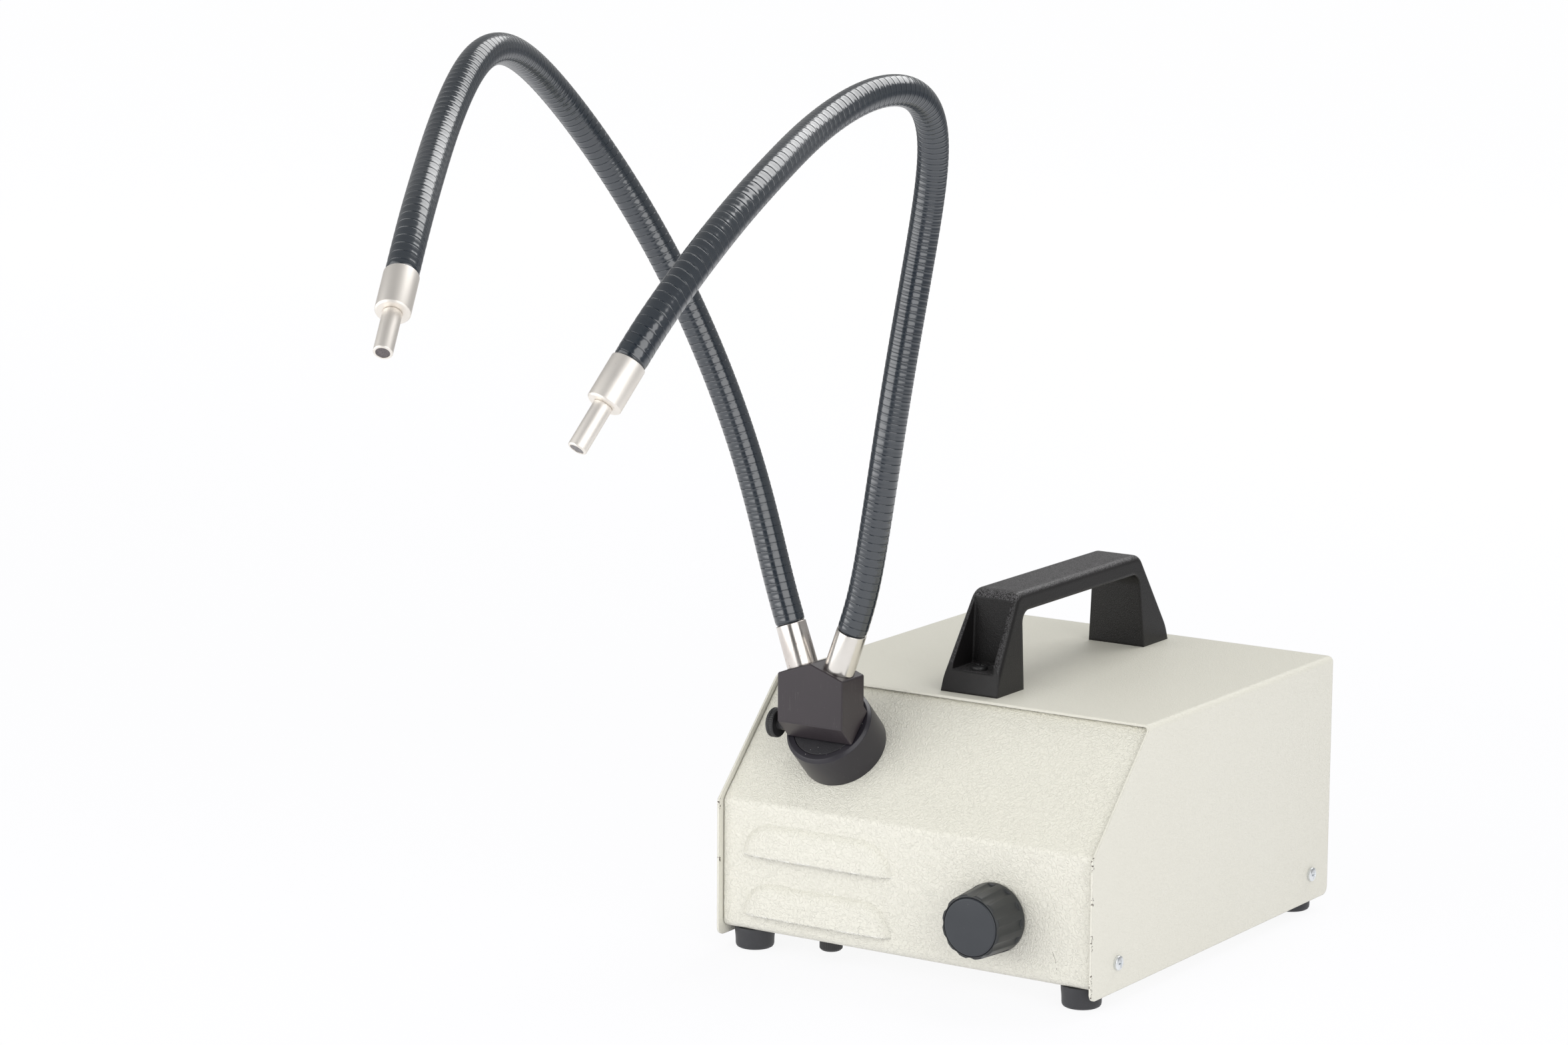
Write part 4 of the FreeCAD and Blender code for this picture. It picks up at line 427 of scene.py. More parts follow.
finish("darkPlastic", (0.012, 0.012, 0.013), (0.02, 0.02, 0.021), (0.36, 0.5), grain=1500.0,
       bump=0.00004, drift=40.0, edge=0.0006, rubbedAndLitEdge=(0.05, 0.05, 0.05), reach=(0.1, 0.4),
       marks=[fineDust])
finish("ceramic", (0.72, 0.69, 0.62), (0.64, 0.6, 0.52), (0.3, 0.45), bump=0.00002, drift=60.0,
       edge=0.0005)
finish("coreIron", (0.09, 0.085, 0.08), (0.13, 0.11, 0.09), (0.4, 0.55), grain=1500.0, bump=0.00004,
       drift=40.0, edge=0.0004, Metallic=0.6)
finish("windingTape", (0.55, 0.36, 0.1), (0.45, 0.28, 0.07), (0.4, 0.55), grain=500.0, bump=0.00004,
       drift=30.0, edge=0.0006)
finish("circuitBoard", (0.03, 0.12, 0.05), (0.04, 0.16, 0.07), (0.35, 0.45), bump=0.00002, drift=40.0)
finish("lampGlass", (0.92, 0.96, 0.96), (0.88, 0.94, 0.94), (0.02, 0.05), grain=300.0, bump=0.000001,
       drift=40.0, Transmission_Weight=1.0, IOR=1.47)
finish("mirror", (0.86, 0.86, 0.85), (0.8, 0.8, 0.8), (0.04, 0.1), grain=300.0, bump=0.00001,
       drift=30.0, Metallic=1.0)


# The polished end of a fibre bundle: each cell of a close pattern is one fibre in dark resin.
def fibreFace():
    material, tree, shader = newMaterial("fibreFace", Coat_Weight=0.6, Coat_Roughness=0.08)
    cells = tree.nodes.new("ShaderNodeTexVoronoi")
    tree.links.new(objectPlace(tree), cells.inputs["Vector"])
    cells.inputs["Scale"].default_value = 3200.0
    core = mapped(tree, cells.outputs["Distance"], 0.25, 0.55)
    tree.links.new(blendColors(tree, core, (0.17, 0.14, 0.14, 1), (0.035, 0.028, 0.03, 1)),
                   shader["Base Color"])
    tree.links.new(mapped(tree, core, 0, 1, 0.1, 0.45), shader["Roughness"])
    finishes["fibreFace"] = material


fibreFace()
print("finishes made:", len(finishes))

nodeFinish = {
    "creamPaint": ["cover"],
    "creamWrinkle": ["chassis"],
    "handlePlastic": ["handle"],
    "knobPlastic": ["knob"],
    "capPlastic": ["knob_cap"],
    "blockAnodised": ["guide_block"],
    "collarAnodised": ["collar", "collar_nut"],
    "bushBlack": ["guide_bush"],
    "blackScrew": ["thumb_screw", "tray_screw", "handle_screws"],
    "footRubber": ["feet"],
    "hoseSheath": [f"{hand}_gooseneck_{stretch}" for hand in ("left", "right")
                   for stretch in ("root", "lower", "upper", "fore", "tip")],
    "spottedNickel": ["base_ferrule_left"],
    "nickel": ["base_ferrule_right"],
    "satinNickel": ["tip_ferrule_left", "tip_ferrule_right", "nozzle_left", "nozzle_right"],
    "wire": ["fan_guard"],
    "zinc": ["cover_screws", "foot_screws", "fan_screws", "inlet_screws", "strap_screws"],
    "steelSheet": ["dimmer_shaft", "dimmer_nut", "lamp_tray", "transformer_strap", "filter_ring"],
    "castAlloy": ["guide_plug", "heat_sink"],
    "brass": ["inlet_pins", "board_spacers"],
    "darkPlastic": ["dimmer_pot", "fan_frame", "fan_rotor", "inlet_socket", "fuse_drawer"],
    "ceramic": ["lamp_socket"],
    "coreIron": ["transformer_core"],
    "windingTape": ["transformer_winding"],
    "circuitBoard": ["dimmer_board"],
    "lampGlass": ["lamp_capsule", "heat_filter"],
    "mirror": ["lamp_reflector"],
    "fibreFace": ["inlet_fibres", "outlet_fibres_left", "outlet_fibres_right"],
}
for key, names in nodeFinish.items():
    for name in names:
        nodes[name].data.materials.clear()
        nodes[name].data.materials.append(finishes[key])


# Gives a new piece its finish, body and the solid that it stands for.
def settle(piece, key, body, *replaced):
    piece.data.materials.clear()
    piece.data.materials.append(finishes[key])
    if body:
        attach(piece, body)
    if replaced:
        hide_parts(*replaced)
    return piece


# ---- goosenecks ----
gooseneck = {
    "radius": 0.0078, "grooveDepth": 0.00026, "grooveWidth": 0.042, "step": 0.0001, "crown": 0.0001,
    "around": 44, "endRound": 0.0007, "endDrop": 0.001, "share": 0.8, "reach": 0.004,
    "swell": 0.05, "swellFrom": -0.6, "swellTo": 1.4,
    "turnRows": (0, 0.022, 0.036, 0.046, 0.06, 0.1, 0.18, 0.3, 0.44, 0.58, 0.72, 0.84, 0.92, 0.954,
                 0.964, 0.978),
}
# The spacing of the turns is given as (metres along the arm, metres from turn to turn).
goosenecks = {
    "left": {
        "route": [(-0.07393, -0.12068, 0.17795), (-0.0826, -0.12068, 0.20247),
                  (-0.09493, -0.12368, 0.25395), (-0.11193, -0.13368, 0.31095),
                  (-0.13193, -0.14968, 0.36695), (-0.15093, -0.17368, 0.41695),
                  (-0.15893, -0.20968, 0.45695), (-0.14993, -0.26068, 0.48395),
                  (-0.14193, -0.29968, 0.48195), (-0.12793, -0.34168, 0.45395),
                  (-0.10793, -0.37968, 0.43595), (-0.08393, -0.42268, 0.41795),
                  (-0.07293, -0.44768, 0.39495)],
        "pivots": [(-0.08877, -0.12218, 0.22821), (-0.14143, -0.16168, 0.39195),
                   (-0.14593, -0.28018, 0.48295), (-0.09593, -0.40118, 0.42695)],
        "spacing": [(0.0, 0.0043), (0.33, 0.0042), (0.36, 0.0036), (0.42, 0.0035), (0.455, 0.0043),
                    (0.48, 0.0053), (0.53, 0.0058), (0.57, 0.005), (0.62, 0.0046)],
    },
    "right": {
        "route": [(-0.03647, -0.12068, 0.17795), (-0.0278, -0.12068, 0.20247),
                  (-0.01447, -0.12668, 0.26495), (-0.00547, -0.12368, 0.32895),
                  (0.00153, -0.11468, 0.39095), (0.01353, -0.12368, 0.43895),
                  (0.01753, -0.14968, 0.46295), (0.01253, -0.18568, 0.46395),
                  (0.01353, -0.23468, 0.45095), (0.03353, -0.29868, 0.43895),
                  (0.04353, -0.35668, 0.41895), (0.04553, -0.41368, 0.38395),
                  (0.04153, -0.43168, 0.36295)],
        "pivots": [(-0.02113, -0.12368, 0.23371), (0.00753, -0.11918, 0.41495),
                   (0.01303, -0.21018, 0.45745), (0.04453, -0.38518, 0.40145)],
        "spacing": [(0.0, 0.0044), (0.1, 0.0042), (0.16, 0.0037), (0.22, 0.0034), (0.3, 0.0033),
                    (0.33, 0.0044), (0.37, 0.0056), (0.4, 0.0059), (0.48, 0.0059), (0.53, 0.0055),
                    (0.57, 0.005), (0.62, 0.0045)],
    },
}


# A cubic B-spline through the first and last points of a route: each span is
# ((1-t)^3 a + (3t^3-6t^2+4) b + (-3t^3+3t^2+3t+1) c + t^3 d) / 6.
def smoothLine(route, count=6000):
    points = np.asarray(route, float)
    points = np.vstack([2 * points[0] - points[1], points, 2 * points[-1] - points[-2]])
    u = np.linspace(0, len(route) - 1 - 1e-9, count)
    span = u.astype(int)
    t = (u - span)[:, None]
    a, b, c, d = (points[span + k] for k in range(4))
    line = ((1 - t) ** 3 * a + (3 * t ** 3 - 6 * t ** 2 + 4) * b
            + (-3 * t ** 3 + 3 * t ** 2 + 3 * t + 1) * c + t ** 3 * d) / 6
    length = np.concatenate([[0], np.cumsum(np.linalg.norm(np.diff(line, axis=0), axis=1))])
    return line, length


def pointAt(line, length, stations):
    return np.stack([np.interp(stations, length, line[:, k]) for k in range(3)], axis=-1)


# A tube of radius R along a line, wound with one shallow groove. The rows of points follow the
# winding, so the groove stays crisp: with d the distance from the groove in turns, the radius is
# R - groove e^-(d/w)^4 + step d + crown (1 - 4 d^2), and the turns swell inside a bend. The
# winding starts a turn before the tube, so that the seam is closed from its first row on.
def windTube(name, line, length, turnsAt, start, stop):
    size = gooseneck
    angles = np.linspace(0, 2 * math.pi, size["around"], endpoint=False)
    lowest, highest = (np.interp(s, length, turnsAt) for s in (start, stop))
    whole = np.arange(math.floor(lowest) - 1, math.ceil(highest) + 2)
    wound = (whole[:, None] + np.array(size["turnRows"])).ravel()[:, None] - angles / (2 * math.pi)
    stations = np.clip(np.interp(wound, turnsAt, length), start, stop)
    turns = np.interp(stations, length, turnsAt) + angles / (2 * math.pi)
    off = turns - np.round(turns)
    middle = pointAt(line, length, stations)
    reach = size["reach"]
    back, on = pointAt(line, length, stations - reach), pointAt(line, length, stations + reach)
    along = (on - back) / np.linalg.norm(on - back, axis=-1, keepdims=True)
    bend = (back + on - 2 * middle) / reach ** 2
    guide = np.array([1.0, 0, 0])
    first = guide - along * (along @ guide)[..., None]
    first /= np.linalg.norm(first, axis=-1, keepdims=True)
    outward = np.cos(angles)[:, None] * first + np.sin(angles)[:, None] * np.cross(along, first)
    inside = (outward * bend).sum(axis=-1) * size["swell"]
    inside = np.clip(inside, size["swellFrom"], size["swellTo"])
    radius = (size["radius"] - size["grooveDepth"] * np.exp(-(off / size["grooveWidth"]) ** 4)
              + (size["step"] * off + size["crown"] * (1 - 4 * off ** 2)) * (1 + inside))
    fromEnd = np.minimum(stations, length[-1] - stations)
    radius -= size["endDrop"] * np.exp(-np.maximum(fromEnd, 0) / size["endRound"])
    return tubePiece(name, middle + outward * radius[..., None], lag=len(size["turnRows"]))


# Each piece spans one joint, from the middle of one stretch to the middle of the next,
# so the whole arm curves as one tube.
def makeGooseneck(hand, settings):
    line, length = smoothLine(settings["route"])
    spacing = np.interp(length, *zip(*settings["spacing"]))
    turnsAt = np.concatenate([[0], np.cumsum(np.diff(length) / spacing[1:])])
    pivots = [length[np.argmin(np.linalg.norm(line - np.asarray(p), axis=1))]
              for p in settings["pivots"]]
    seams = [0.0] + [(a + b) / 2 for a, b in zip(pivots, pivots[1:])] + [length[-1]]
    bodies = ["guide"] + [f"{hand}_{stretch}" for stretch in ("lower", "upper", "fore", "tip")]
    for i, pivot in enumerate(pivots):
        piece = windTube(f"{hand}Hose{i + 1}", line, length, turnsAt, seams[i], seams[i + 1])
        replaced = [f"{hand}_gooseneck_{bodies[i + 1].split('_')[1]}"]
        if i == 0:
            replaced.append(f"{hand}_gooseneck_root")
        settle(piece, "hoseSheath", None, *replaced)
        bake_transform(piece)
    print(hand, "gooseneck,", round(length[-1] * 1000), "mm long,", round(turnsAt[-1]), "turns")


for hand, settings in goosenecks.items():
    makeGooseneck(hand, settings)

# ---- ferrules and nozzles ----
ferrules = {
    "foot": {"left": (-0.0664, -0.12068, 0.15664), "right": (-0.044, -0.12068, 0.15664)},
    "lean": 0.33332, "footRadius": 0.0082, "headRadius": 0.00795, "long": 0.0226, "spigot": 0.008,
    "spigotRadius": 0.0056, "bore": 0.0065, "throat": 0.0036, "boreLong": 0.015,
    "tip": {"left": ((-0.07293, -0.44768, 0.39495), (0.3081, -0.7001, -0.6441)),
            "right": ((0.04153, -0.43168, 0.36295), (-0.1431, -0.6441, -0.7514))},
    "tipRadius": 0.0084, "tipLong": 0.023, "tipBore": 0.0105, "tipChamfer": 0.0008,
    "nozzleRadius": 0.0046, "nozzleShank": 0.0043, "nozzleLong": 0.024, "nozzleStem": 0.012,
    "nozzleBevel": 0.0005, "bundle": 0.0034, "slack": 0.00003,
}


def makeFerrules(size):
    for side, hand in ((-1, "left"), (1, "right")):
        axis = (side * size["lean"], 0, math.sqrt(1 - size["lean"] ** 2))
        seat = size["long"] - size["boreLong"]
        base = turnedPiece(f"{hand}BaseFerrule", [
            (size["throat"], -size["spigot"]), (size["spigotRadius"], -size["spigot"]),
            (size["spigotRadius"], 0), (size["footRadius"], 0, 0.0002),
            (size["headRadius"], size["long"], 0.0004), (size["bore"], size["long"]),
            (size["bore"], seat), (size["throat"], seat)], size["foot"][hand], axis, ring=True)
        finishName = "spottedNickel" if hand == "left" else "nickel"
        settle(base, finishName, "guide", f"base_ferrule_{hand}")
        end, axis = size["tip"][hand]
        long, reach = size["tipLong"], size["tipLong"] + size["nozzleLong"]
        bore, chamfer = size["nozzleShank"] + size["slack"], size["tipChamfer"]
        stem, bevel = long - size["nozzleStem"], size["nozzleBevel"]
        ferrule = turnedPiece(f"{hand}TipFerrule", [
            (size["bore"], 0), (size["tipRadius"], 0, 0.0004),
            (size["tipRadius"], long - chamfer, 0.0003), (size["tipRadius"] - chamfer, long, 0.0003),
            (bore, long), (bore, size["tipBore"]), (size["bore"], size["tipBore"])],
            end, axis, ring=True)
        settle(ferrule, "satinNickel", f"{hand}_tip", f"tip_ferrule_{hand}")
        nozzle = turnedPiece(f"{hand}Nozzle", [
            (size["bundle"], stem), (size["nozzleShank"], stem),
            (size["nozzleShank"], long + 0.0002, 0.00005), (size["nozzleRadius"], long + 0.0003),
            (size["nozzleRadius"], reach - bevel), (size["nozzleRadius"] - bevel, reach, 0.0004),
            (size["bundle"], reach, 0.0001)], end, axis, ring=True, soft=0.0002)
        settle(nozzle, "satinNickel", f"{hand}_tip", f"nozzle_{hand}")
    print("ferrules and nozzles made")


makeFerrules(ferrules)

# ---- dimmer knob ----
knob = {
    "middle": (0.0544, -0.1272, 0.0421), "axis": (0, -1, 0), "back": 0.0183, "face": 0.0168,
    "long": 0.0234, "round": 0.0014, "bore": 0.00303, "grip": 0.016, "roof": 0.0044, "well": 0.0074,
    "seat": 0.01535, "sink": 0.0008, "flutes": 12, "fluteRadius": 0.0046, "fluteDeep": 0.001,
    "fluteStart": 0.0022, "fluteEase": 0.0004, "fluteInner": 0.0003,
    "fluteRows": (-0.25, 0.05, 0.3, 0.6, 1.0), "wallRows": (0.01, 0.018), "pole": 0.0005,
    "capRadius": 0.0151, "capThick": 0.0014, "capBevel": 0.0006,
}


# The wall tapers from the back to the face: back + (face - back) height / long.
def knobWall(height):
    return knob["back"] + (knob["face"] - knob["back"]) * height / knob["long"]


# A flute is an arc of radius f about a middle c outside the wall: at an angle a from it the wall
# is min(r, c cos a - sqrt(f^2 - (c sin a)^2)). It rises out of the wall near the back.
def knobFlutes(radius, height, angles):
    size = knob
    wall = knobWall(height)
    rise = np.clip((height - size["fluteStart"]) / size["fluteEase"], 0, 1)
    deep = size["fluteDeep"] * np.sqrt(rise)
    middle = wall + size["fluteRadius"] - deep
    step = 2 * math.pi / size["flutes"]
    off = (angles + step / 2) % step - step / 2
    under = size["fluteRadius"] ** 2 - (middle * np.sin(off)) ** 2
    arc = middle * np.cos(off) - np.sqrt(np.maximum(under, 0))
    cut = (under > 0) & (rise > 0) & (radius > size["seat"] + size["fluteInner"])
    return np.where(cut, np.minimum(radius, arc), radius), height


def makeKnob(size):
    long, pole = size["long"], size["pole"]
    heights = [size["fluteStart"] + size["fluteEase"] * share for share in size["fluteRows"]]
    wallRows = [(knobWall(height), height, 0.00005) for height in (*heights, *size["wallRows"])]
    knobPiece = turnedPiece("dimmerKnob", [
        (pole, size["grip"]), (size["bore"], size["grip"]), (size["bore"], size["roof"]),
        (size["well"], size["roof"]), (size["well"], 0), (size["back"], 0, 0.0004), *wallRows,
        (size["face"], long, size["round"]), (size["seat"], long, 0.0002),
        (size["seat"], long - size["sink"], 0.0001), (pole, long - size["sink"])],
        size["middle"], size["axis"], around=360, reshape=knobFlutes)
    settle(knobPiece, "knobPlastic", "dimmer_control", "knob")
    floor = np.array(size["middle"]) + np.array(size["axis"]) * (long - size["sink"])
    cap = turnedPiece("knobCap", [
        (pole, 0), (size["capRadius"], 0, 0.0001),
        (size["capRadius"], size["capThick"] - size["capBevel"], 0.0003),
        (size["capRadius"] - size["capBevel"], size["capThick"], 0.0004),
        (pole, size["capThick"])], floor, size["axis"], around=160)
    settle(cap, "capPlastic", "dimmer_control", "knob_cap")
    print("knob made")


makeKnob(knob)

# ---- collar, bush and hand screws ----
beam = {"foot": (-0.0552, -0.097589, 0.110027), "axis": (0, -0.71499, 0.69913)}
collar = {"tall": 0.0225, "wall": 0.0015, "radius": 0.0237, "chamfer": 0.0016, "bore": 0.01205,
          "spigot": 0.015, "spigotLong": 0.01, "seat": 0.0192, "flange": 0.002, "slack": 0.0001}
bush = {"flange": 0.019, "thick": 0.002, "radius": 0.012, "long": 0.027, "bore": 0.00805}
thumbScrew = {"middle": (-0.075, -0.12176, 0.12457), "axis": (-1, 0, 0), "stem": 0.002,
              "stemLong": 0.01, "neck": 0.0005, "neckRadius": 0.0034, "stand": 0.0045,
              "radius": 0.0078, "thick": 0.0045, "knurls": 44, "knurlDeep": 0.00022,
              "rim": 0.0006, "face": 0.0007, "waist": 0.0005, "waistFloor": 0.0003, "dip": 0.0004,
              "ring": (0.0052, 0.0048, 0.0042, 0.0038), "knurlBand": 0.0006, "pole": 0.0004}
trayScrew = {"middle": (-0.053, -0.112, 0.01145), "axis": (0, 0, -1), "radius": 0.0061,
             "tall": 0.007, "stem": 0.002, "stemLong": 0.007, "knurls": 36, "knurlDeep": 0.0002,
             "rim": 0.0005, "crown": 0.0013, "crownRound": 0.0012, "shoulder": 0.0014,
             "knurlBand": 0.0006, "pole": 0.0004}


def makeCollar(size, ringSize):
    tall, foot = size["tall"], -size["wall"] - size["spigotLong"]
    seat = tall - size["flange"] - size["slack"]
    piece = turnedPiece("guideCollar", [
        (size["bore"], foot), (size["spigot"], foot), (size["spigot"], 0, 0.0001),
        (size["radius"], 0, 0.0002), (size["radius"], tall - size["chamfer"], 0.0003),
        (size["radius"] - size["chamfer"], tall, 0.0003), (size["seat"], tall, 0.0002),
        (size["seat"], seat), (size["bore"], seat)], beam["foot"], beam["axis"], around=192, ring=True)
    settle(piece, "collarAnodised", "housing", "collar")
    low, under = tall - ringSize["long"], tall - ringSize["thick"]
    piece = turnedPiece("guideBush", [
        (ringSize["bore"], low), (ringSize["radius"], low), (ringSize["radius"], under),
        (ringSize["flange"], under), (ringSize["flange"], tall, 0.0004),
        (ringSize["bore"], tall, 0.0005)], beam["foot"], beam["axis"], around=144, ring=True)
    settle(piece, "bushBlack", "bush", "guide_bush")


# Knurls are a wave round the rim: r - deep (1 + cos(n a)) / 2 where the wall stands up.
def knurl(size):
    def wave(radius, height, angles):
        near = np.clip((radius - size["radius"] + size["knurlBand"]) / size["knurlBand"], 0, 1)
        dip = size["knurlDeep"] * (1 + np.cos(size["knurls"] * angles)) / 2
        return radius - near * dip, height
    return wave


def makeHandScrews(thumb, tray):
    low, top = thumb["stand"], thumb["stand"] + thumb["thick"]
    half, rim, dip = (low + top) / 2, thumb["rim"], thumb["dip"]
    waist, deep, wide = thumb["waist"], thumb["waistFloor"], thumb["radius"]
    edges, pole = thumb["ring"], thumb["pole"]
    piece = turnedPiece("lockScrew", [
        (pole, -thumb["stemLong"]), (thumb["stem"], -thumb["stemLong"]),
        (thumb["stem"], thumb["neck"]), (thumb["neckRadius"], thumb["neck"]),
        (thumb["neckRadius"], low), (wide - rim, low), (wide, low + rim, 0.0002),
        (wide, half - waist), (wide - dip, half - deep), (wide - dip, half + deep),
        (wide, half + waist), (wide, top - rim, 0.0002), (wide - thumb["face"], top),
        (edges[0], top), (edges[1], top - dip), (edges[2], top - dip), (edges[3], top),
        (pole, top)], thumb["middle"], thumb["axis"], around=264, soft=0.0002,
        reshape=knurl(thumb))
    settle(piece, "blackScrew", "lock_screw", "thumb_screw")
    tall, rim, pole, wide = tray["tall"], tray["rim"], tray["pole"], tray["radius"]
    piece = turnedPiece("trayScrew", [
        (pole, -tray["stemLong"]), (tray["stem"], -tray["stemLong"]), (tray["stem"], 0),
        (wide - rim, 0), (wide, rim, 0.0002), (wide, tall - tray["shoulder"], 0.0002),
        (wide - tray["crown"], tall, tray["crownRound"]), (pole, tall)],
        tray["middle"], tray["axis"], around=216, soft=0.0002, reshape=knurl(tray))
    settle(piece, "blackScrew", "lamp_tray_screw", "tray_screw")
    print("collar, bush and hand screws made")


makeCollar(collar, bush)
makeHandScrews(thumbScrew, trayScrew)

# ---- feet ----
feet = {"spots": [(x, y, 0) for x in (-0.0991, 0.0991) for y in (-0.1145, 0.1145)], "tall": 0.0115,
        "bore": 0.0022, "well": 0.0046, "seat": 0.005175, "tip": 0.0102, "top": 0.0107,
        "round": 0.0034, "waist": 0.0002, "waistHeight": 0.0052, "shoulder": 0.8}


# The wall narrows a little at the waist, between the tip and the top.
def makeFeet(size):
    tall, waist = size["tall"], (size["tip"] + size["top"]) / 2 - size["waist"]
    profile = [
        (size["bore"], size["seat"]), (size["well"], size["seat"]), (size["well"], 0, 0.0005),
        (size["tip"], 0, size["round"]), (waist, size["waistHeight"], 0.002),
        (size["top"], tall * size["shoulder"], 0.0015), (size["top"], tall, 0.0005),
        (size["bore"], tall)]
    rubber = [turnedPiece(f"foot{i}", profile, spot, (0, 0, 1), ring=True)
              for i, spot in enumerate(size["spots"])]
    settle(mergePieces("rubberFeet", rubber), "footRubber", "housing", "feet")


makeFeet(feet)

# ---- screws with a cross recess ----
out, rear = 0.113, 0.1262  # the cover's outer wall, and the outside of the rear wall
panHead = {"recessReach": 0.58, "recessWide": 0.13, "recessDeep": 0.5, "around": 96, "wall": 0.55,
           "sideEase": 0.05, "endEase": 0.16, "domeRings": (0.985, 0.06, 30), "pole": 0.0004,
           "brim": 0.97, "brimLow": 0.1, "brimHigh": 0.5}
screws = {
    "coverScrews": {"node": "cover_screws", "finish": "zinc", "head": 0.0038, "tall": 0.0025,
                    "shank": 0.002, "long": 0.008,
                    "spots": [((side * out, y, 0.0222), (side, 0, 0)) for side in (-1, 1)
                              for y in (-0.1035, 0.1096)]},
    "footScrews": {"node": "foot_screws", "finish": "zinc", "head": 0.0042, "tall": 0.0025,
                   "shank": 0.002, "long": 0.0118,
                   "spots": [((x, y, 0.005175), (0, 0, -1)) for x, y, z in feet["spots"]]},
    "handleScrews": {"node": "handle_screws", "finish": "blackScrew", "head": 0.0043, "tall": 0.0025,
                     "shank": 0.0025, "long": 0.0177,
                     "spots": [((0, y, 0.1507), (0, 0, 1)) for y in (-0.0535, 0.1085)]},
    "fanScrews": {"node": "fan_screws", "finish": "zinc", "head": 0.00323, "tall": 0.00175,
                  "shank": 0.0019, "long": 0.012,
                  "spots": [((x, rear + 0.0016, z), (0, 1, 0)) for x in (-0.08, -0.03)
                            for z in (0.051, 0.101)]},
    "inletScrews": {"node": "inlet_screws", "finish": "zinc", "head": 0.00323, "tall": 0.00175,
                    "shank": 0.0019, "long": 0.0075,
                    "spots": [((x, rear + 0.0026, 0.046), (0, 1, 0)) for x in (0.038, 0.078)]},
}


# A pan head: height t (wall + (1 - wall) sqrt(1 - (r / R)^2)), less a cross that narrows as it
# deepens.
def makeScrews(name, size):
    head, tall = size["head"], size["tall"]
    wall, rings = panHead["wall"], np.linspace(*panHead["domeRings"])
    dome = [(head * r, tall * (wall + (1 - wall) * math.sqrt(1 - r * r))) for r in rings]

    def recess(radius, height, angles):
        across, up = np.abs(radius * np.cos(angles)), np.abs(radius * np.sin(angles))
        narrow, wide = np.minimum(across, up) / head, np.maximum(across, up) / head
        arm = np.clip((panHead["recessWide"] - narrow) / panHead["sideEase"], 0, 1)
        arm = arm * np.clip((panHead["recessReach"] - wide) / panHead["endEase"], 0, 1)
        onTop = height > tall * (wall - 0.01)
        return radius, height - np.where(onTop, arm * tall * panHead["recessDeep"], 0)

    heads = [turnedPiece(f"{name}{i}", [
        (panHead["pole"], -size["long"]), (size["shank"], -size["long"]), (size["shank"], 0),
        (head * panHead["brim"], 0), (head, tall * panHead["brimLow"]),
        (head, tall * panHead["brimHigh"]), *dome], middle, axis, around=panHead["around"],
        soft=0, reshape=recess) for i, (middle, axis) in enumerate(size["spots"])]
    settle(mergePieces(name, heads), size["finish"], "housing", size["node"])


for name, settings in screws.items():
    makeScrews(name, settings)
print("feet and screws made")

# ---- camera, floor and light ----
camera = {"place": (1.2624, -2.1736, 0.6886), "turn": 33.152, "tilt": -10.583, "roll": 0.377,
          "lens": 111.02, "sensor": 36.0, "farthest": 50}
studio = {"ambient": 0.5, "around": 0.36, "gap": (0.55, -0.835), "gapFrom": 0.4, "gapTo": 0.75,
          "gapLevel": 0.06, "aim": (-0.03, -0.15, 0.2), "floorReach": 30.0,
          "floorColor": (0.85, 0.85, 0.95), "floorGlow": 0.9, "floorFill": 0.4,
          "floorNear": (0.6, 1.0), "floorFar": (3.0, 1.055),
          "paleWithin": 0.7, "dimBeyond": 1.5, "dimLevel": 0.25}
lamps = {
    "leftCard": {"place": (-0.7, -1.25, 0.65), "level": 1.15, "wide": 1.6, "tall": 1.3},
    "tableCard": {"place": (-0.55, -0.98, 0.21), "level": 1.5, "wide": 1.2, "tall": 0.4},
    "rightCard": {"place": (1.12, -0.85, 0.65), "level": 2.1, "wide": 1.4, "tall": 1.3},
    "topCard": {"place": (0.2, 1.6, 2.2), "level": 3.1, "wide": 2.0, "tall": 1.6},
}


def makeCamera(size):
    data = bpy.data.cameras.new("camera")
    data.lens, data.sensor_width, data.sensor_fit = size["lens"], size["sensor"], "HORIZONTAL"
    data.clip_end = size["farthest"]
    eye = bpy.data.objects.new("camera", data)
    bpy.context.scene.collection.objects.link(eye)
    turns = [(size["turn"], "Z"), (90 + size["tilt"], "X"), (size["roll"], "Z")]
    placed = Matrix.Translation(size["place"])
    for degrees, axis in turns:
        placed = placed @ Matrix.Rotation(math.radians(degrees), 4, axis)
    eye.matrix_world = placed
    bpy.context.scene.camera = eye


# Seen straight on, the surroundings are white. Mirrored they are a dimmer room, with a dark gap on
# one side between its lamps.
def makeWorld(size):
    world = bpy.data.worlds.new("studio")
    world.use_nodes = True
    bpy.context.scene.world = world
    tree = world.node_tree
    paths = tree.nodes.new("ShaderNodeLightPath").outputs
    direction = addNode(tree, "TexCoord", out=0)
    facing = addNode(tree, "VectorMath", {0: direction, 1: (*size["gap"], 0)}, out=1,
                     operation="DOT_PRODUCT")
    mirrored = mapped(tree, facing, size["gapFrom"], size["gapTo"], size["around"], size["gapLevel"])
    level = addNode(tree, "Mix", {0: paths["Is Glossy Ray"], 2: size["ambient"], 3: mirrored})
    seen = mathNode(tree, "MAXIMUM", paths["Is Camera Ray"], paths["Is Transmission Ray"])
    level = addNode(tree, "Mix", {0: seen, 2: level, 3: 1.0})
    background = tree.nodes["Background"].inputs
    background["Color"].default_value = (1, 1, 1, 1)
    tree.links.new(level, background["Strength"])


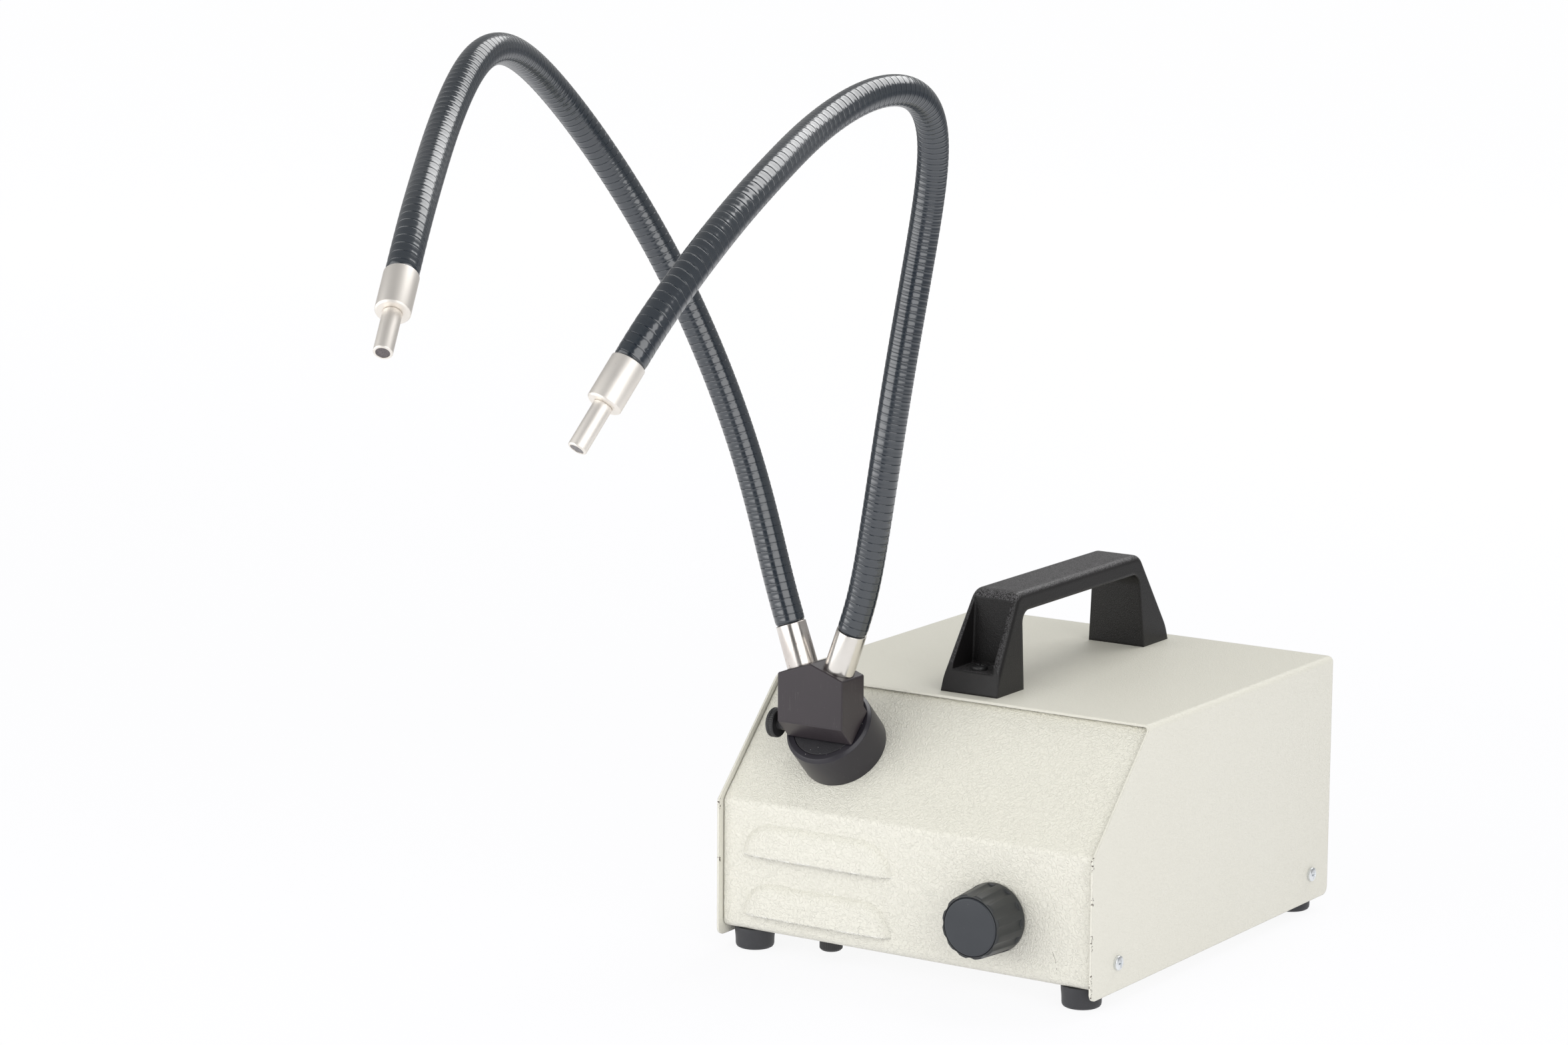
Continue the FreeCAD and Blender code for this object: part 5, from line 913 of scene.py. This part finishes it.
# The floor is white to the eye. In mirrored light it is a white table that ends near the object.
def makeFloor(size):
    corners = size["floorReach"] * np.array([(-1, -1, 0), (1, -1, 0), (1, 1, 0), (-1, 1, 0)])
    floor = meshPiece("floor", corners, [[0, 1, 2, 3]])
    material = bpy.data.materials.new("paleFloor")
    material.use_nodes = True
    tree = material.node_tree
    tree.nodes.clear()
    paths = tree.nodes.new("ShaderNodeLightPath").outputs
    seen = mathNode(tree, "MAXIMUM", paths["Is Camera Ray"],
                    mathNode(tree, "MAXIMUM", paths["Is Glossy Ray"], paths["Is Transmission Ray"]))
    pale = addNode(tree, "BsdfDiffuse", {"Color": (*size["floorColor"], 1)})
    away = addNode(tree, "VectorMath", {0: objectPlace(tree)}, out=1, operation="LENGTH")
    table = mapped(tree, away, size["paleWithin"], size["dimBeyond"], 1.0, size["dimLevel"])
    nearBy, farOff = size["floorNear"], size["floorFar"]
    even = mapped(tree, away, nearBy[0], farOff[0], nearBy[1], farOff[1])
    level = addNode(tree, "Mix", {0: paths["Is Glossy Ray"], 2: even, 3: table})
    glow = addNode(tree, "Emission", {"Color": (1, 1, 1, 1), "Strength": level})
    shown = addNode(tree, "Mix", {0: seen, 2: size["floorFill"], 3: size["floorGlow"]})
    mixed = addNode(tree, "MixShader", {0: shown, 1: pale, 2: glow})
    addNode(tree, "OutputMaterial", {"Surface": mixed})
    floor.data.materials.append(material)


# A card's power is its level times pi times its area.
def makeLamps(cards, aim):
    for name, card in cards.items():
        data = bpy.data.lights.new(name, "AREA")
        data.shape, data.size, data.size_y = "RECTANGLE", card["wide"], card["tall"]
        data.energy = card["level"] * math.pi * card["wide"] * card["tall"]
        lamp = bpy.data.objects.new(name, data)
        bpy.context.scene.collection.objects.link(lamp)
        lamp.location = card["place"]
        lamp.rotation_euler = (lamp.location - Vector(aim)).to_track_quat("Z", "Y").to_euler()
        lamp.visible_camera = False


makeCamera(camera)
makeWorld(studio)
makeFloor(studio)
makeLamps(lamps, studio["aim"])
bpy.context.scene.view_settings.view_transform = "Standard"
print("camera, floor and light set")
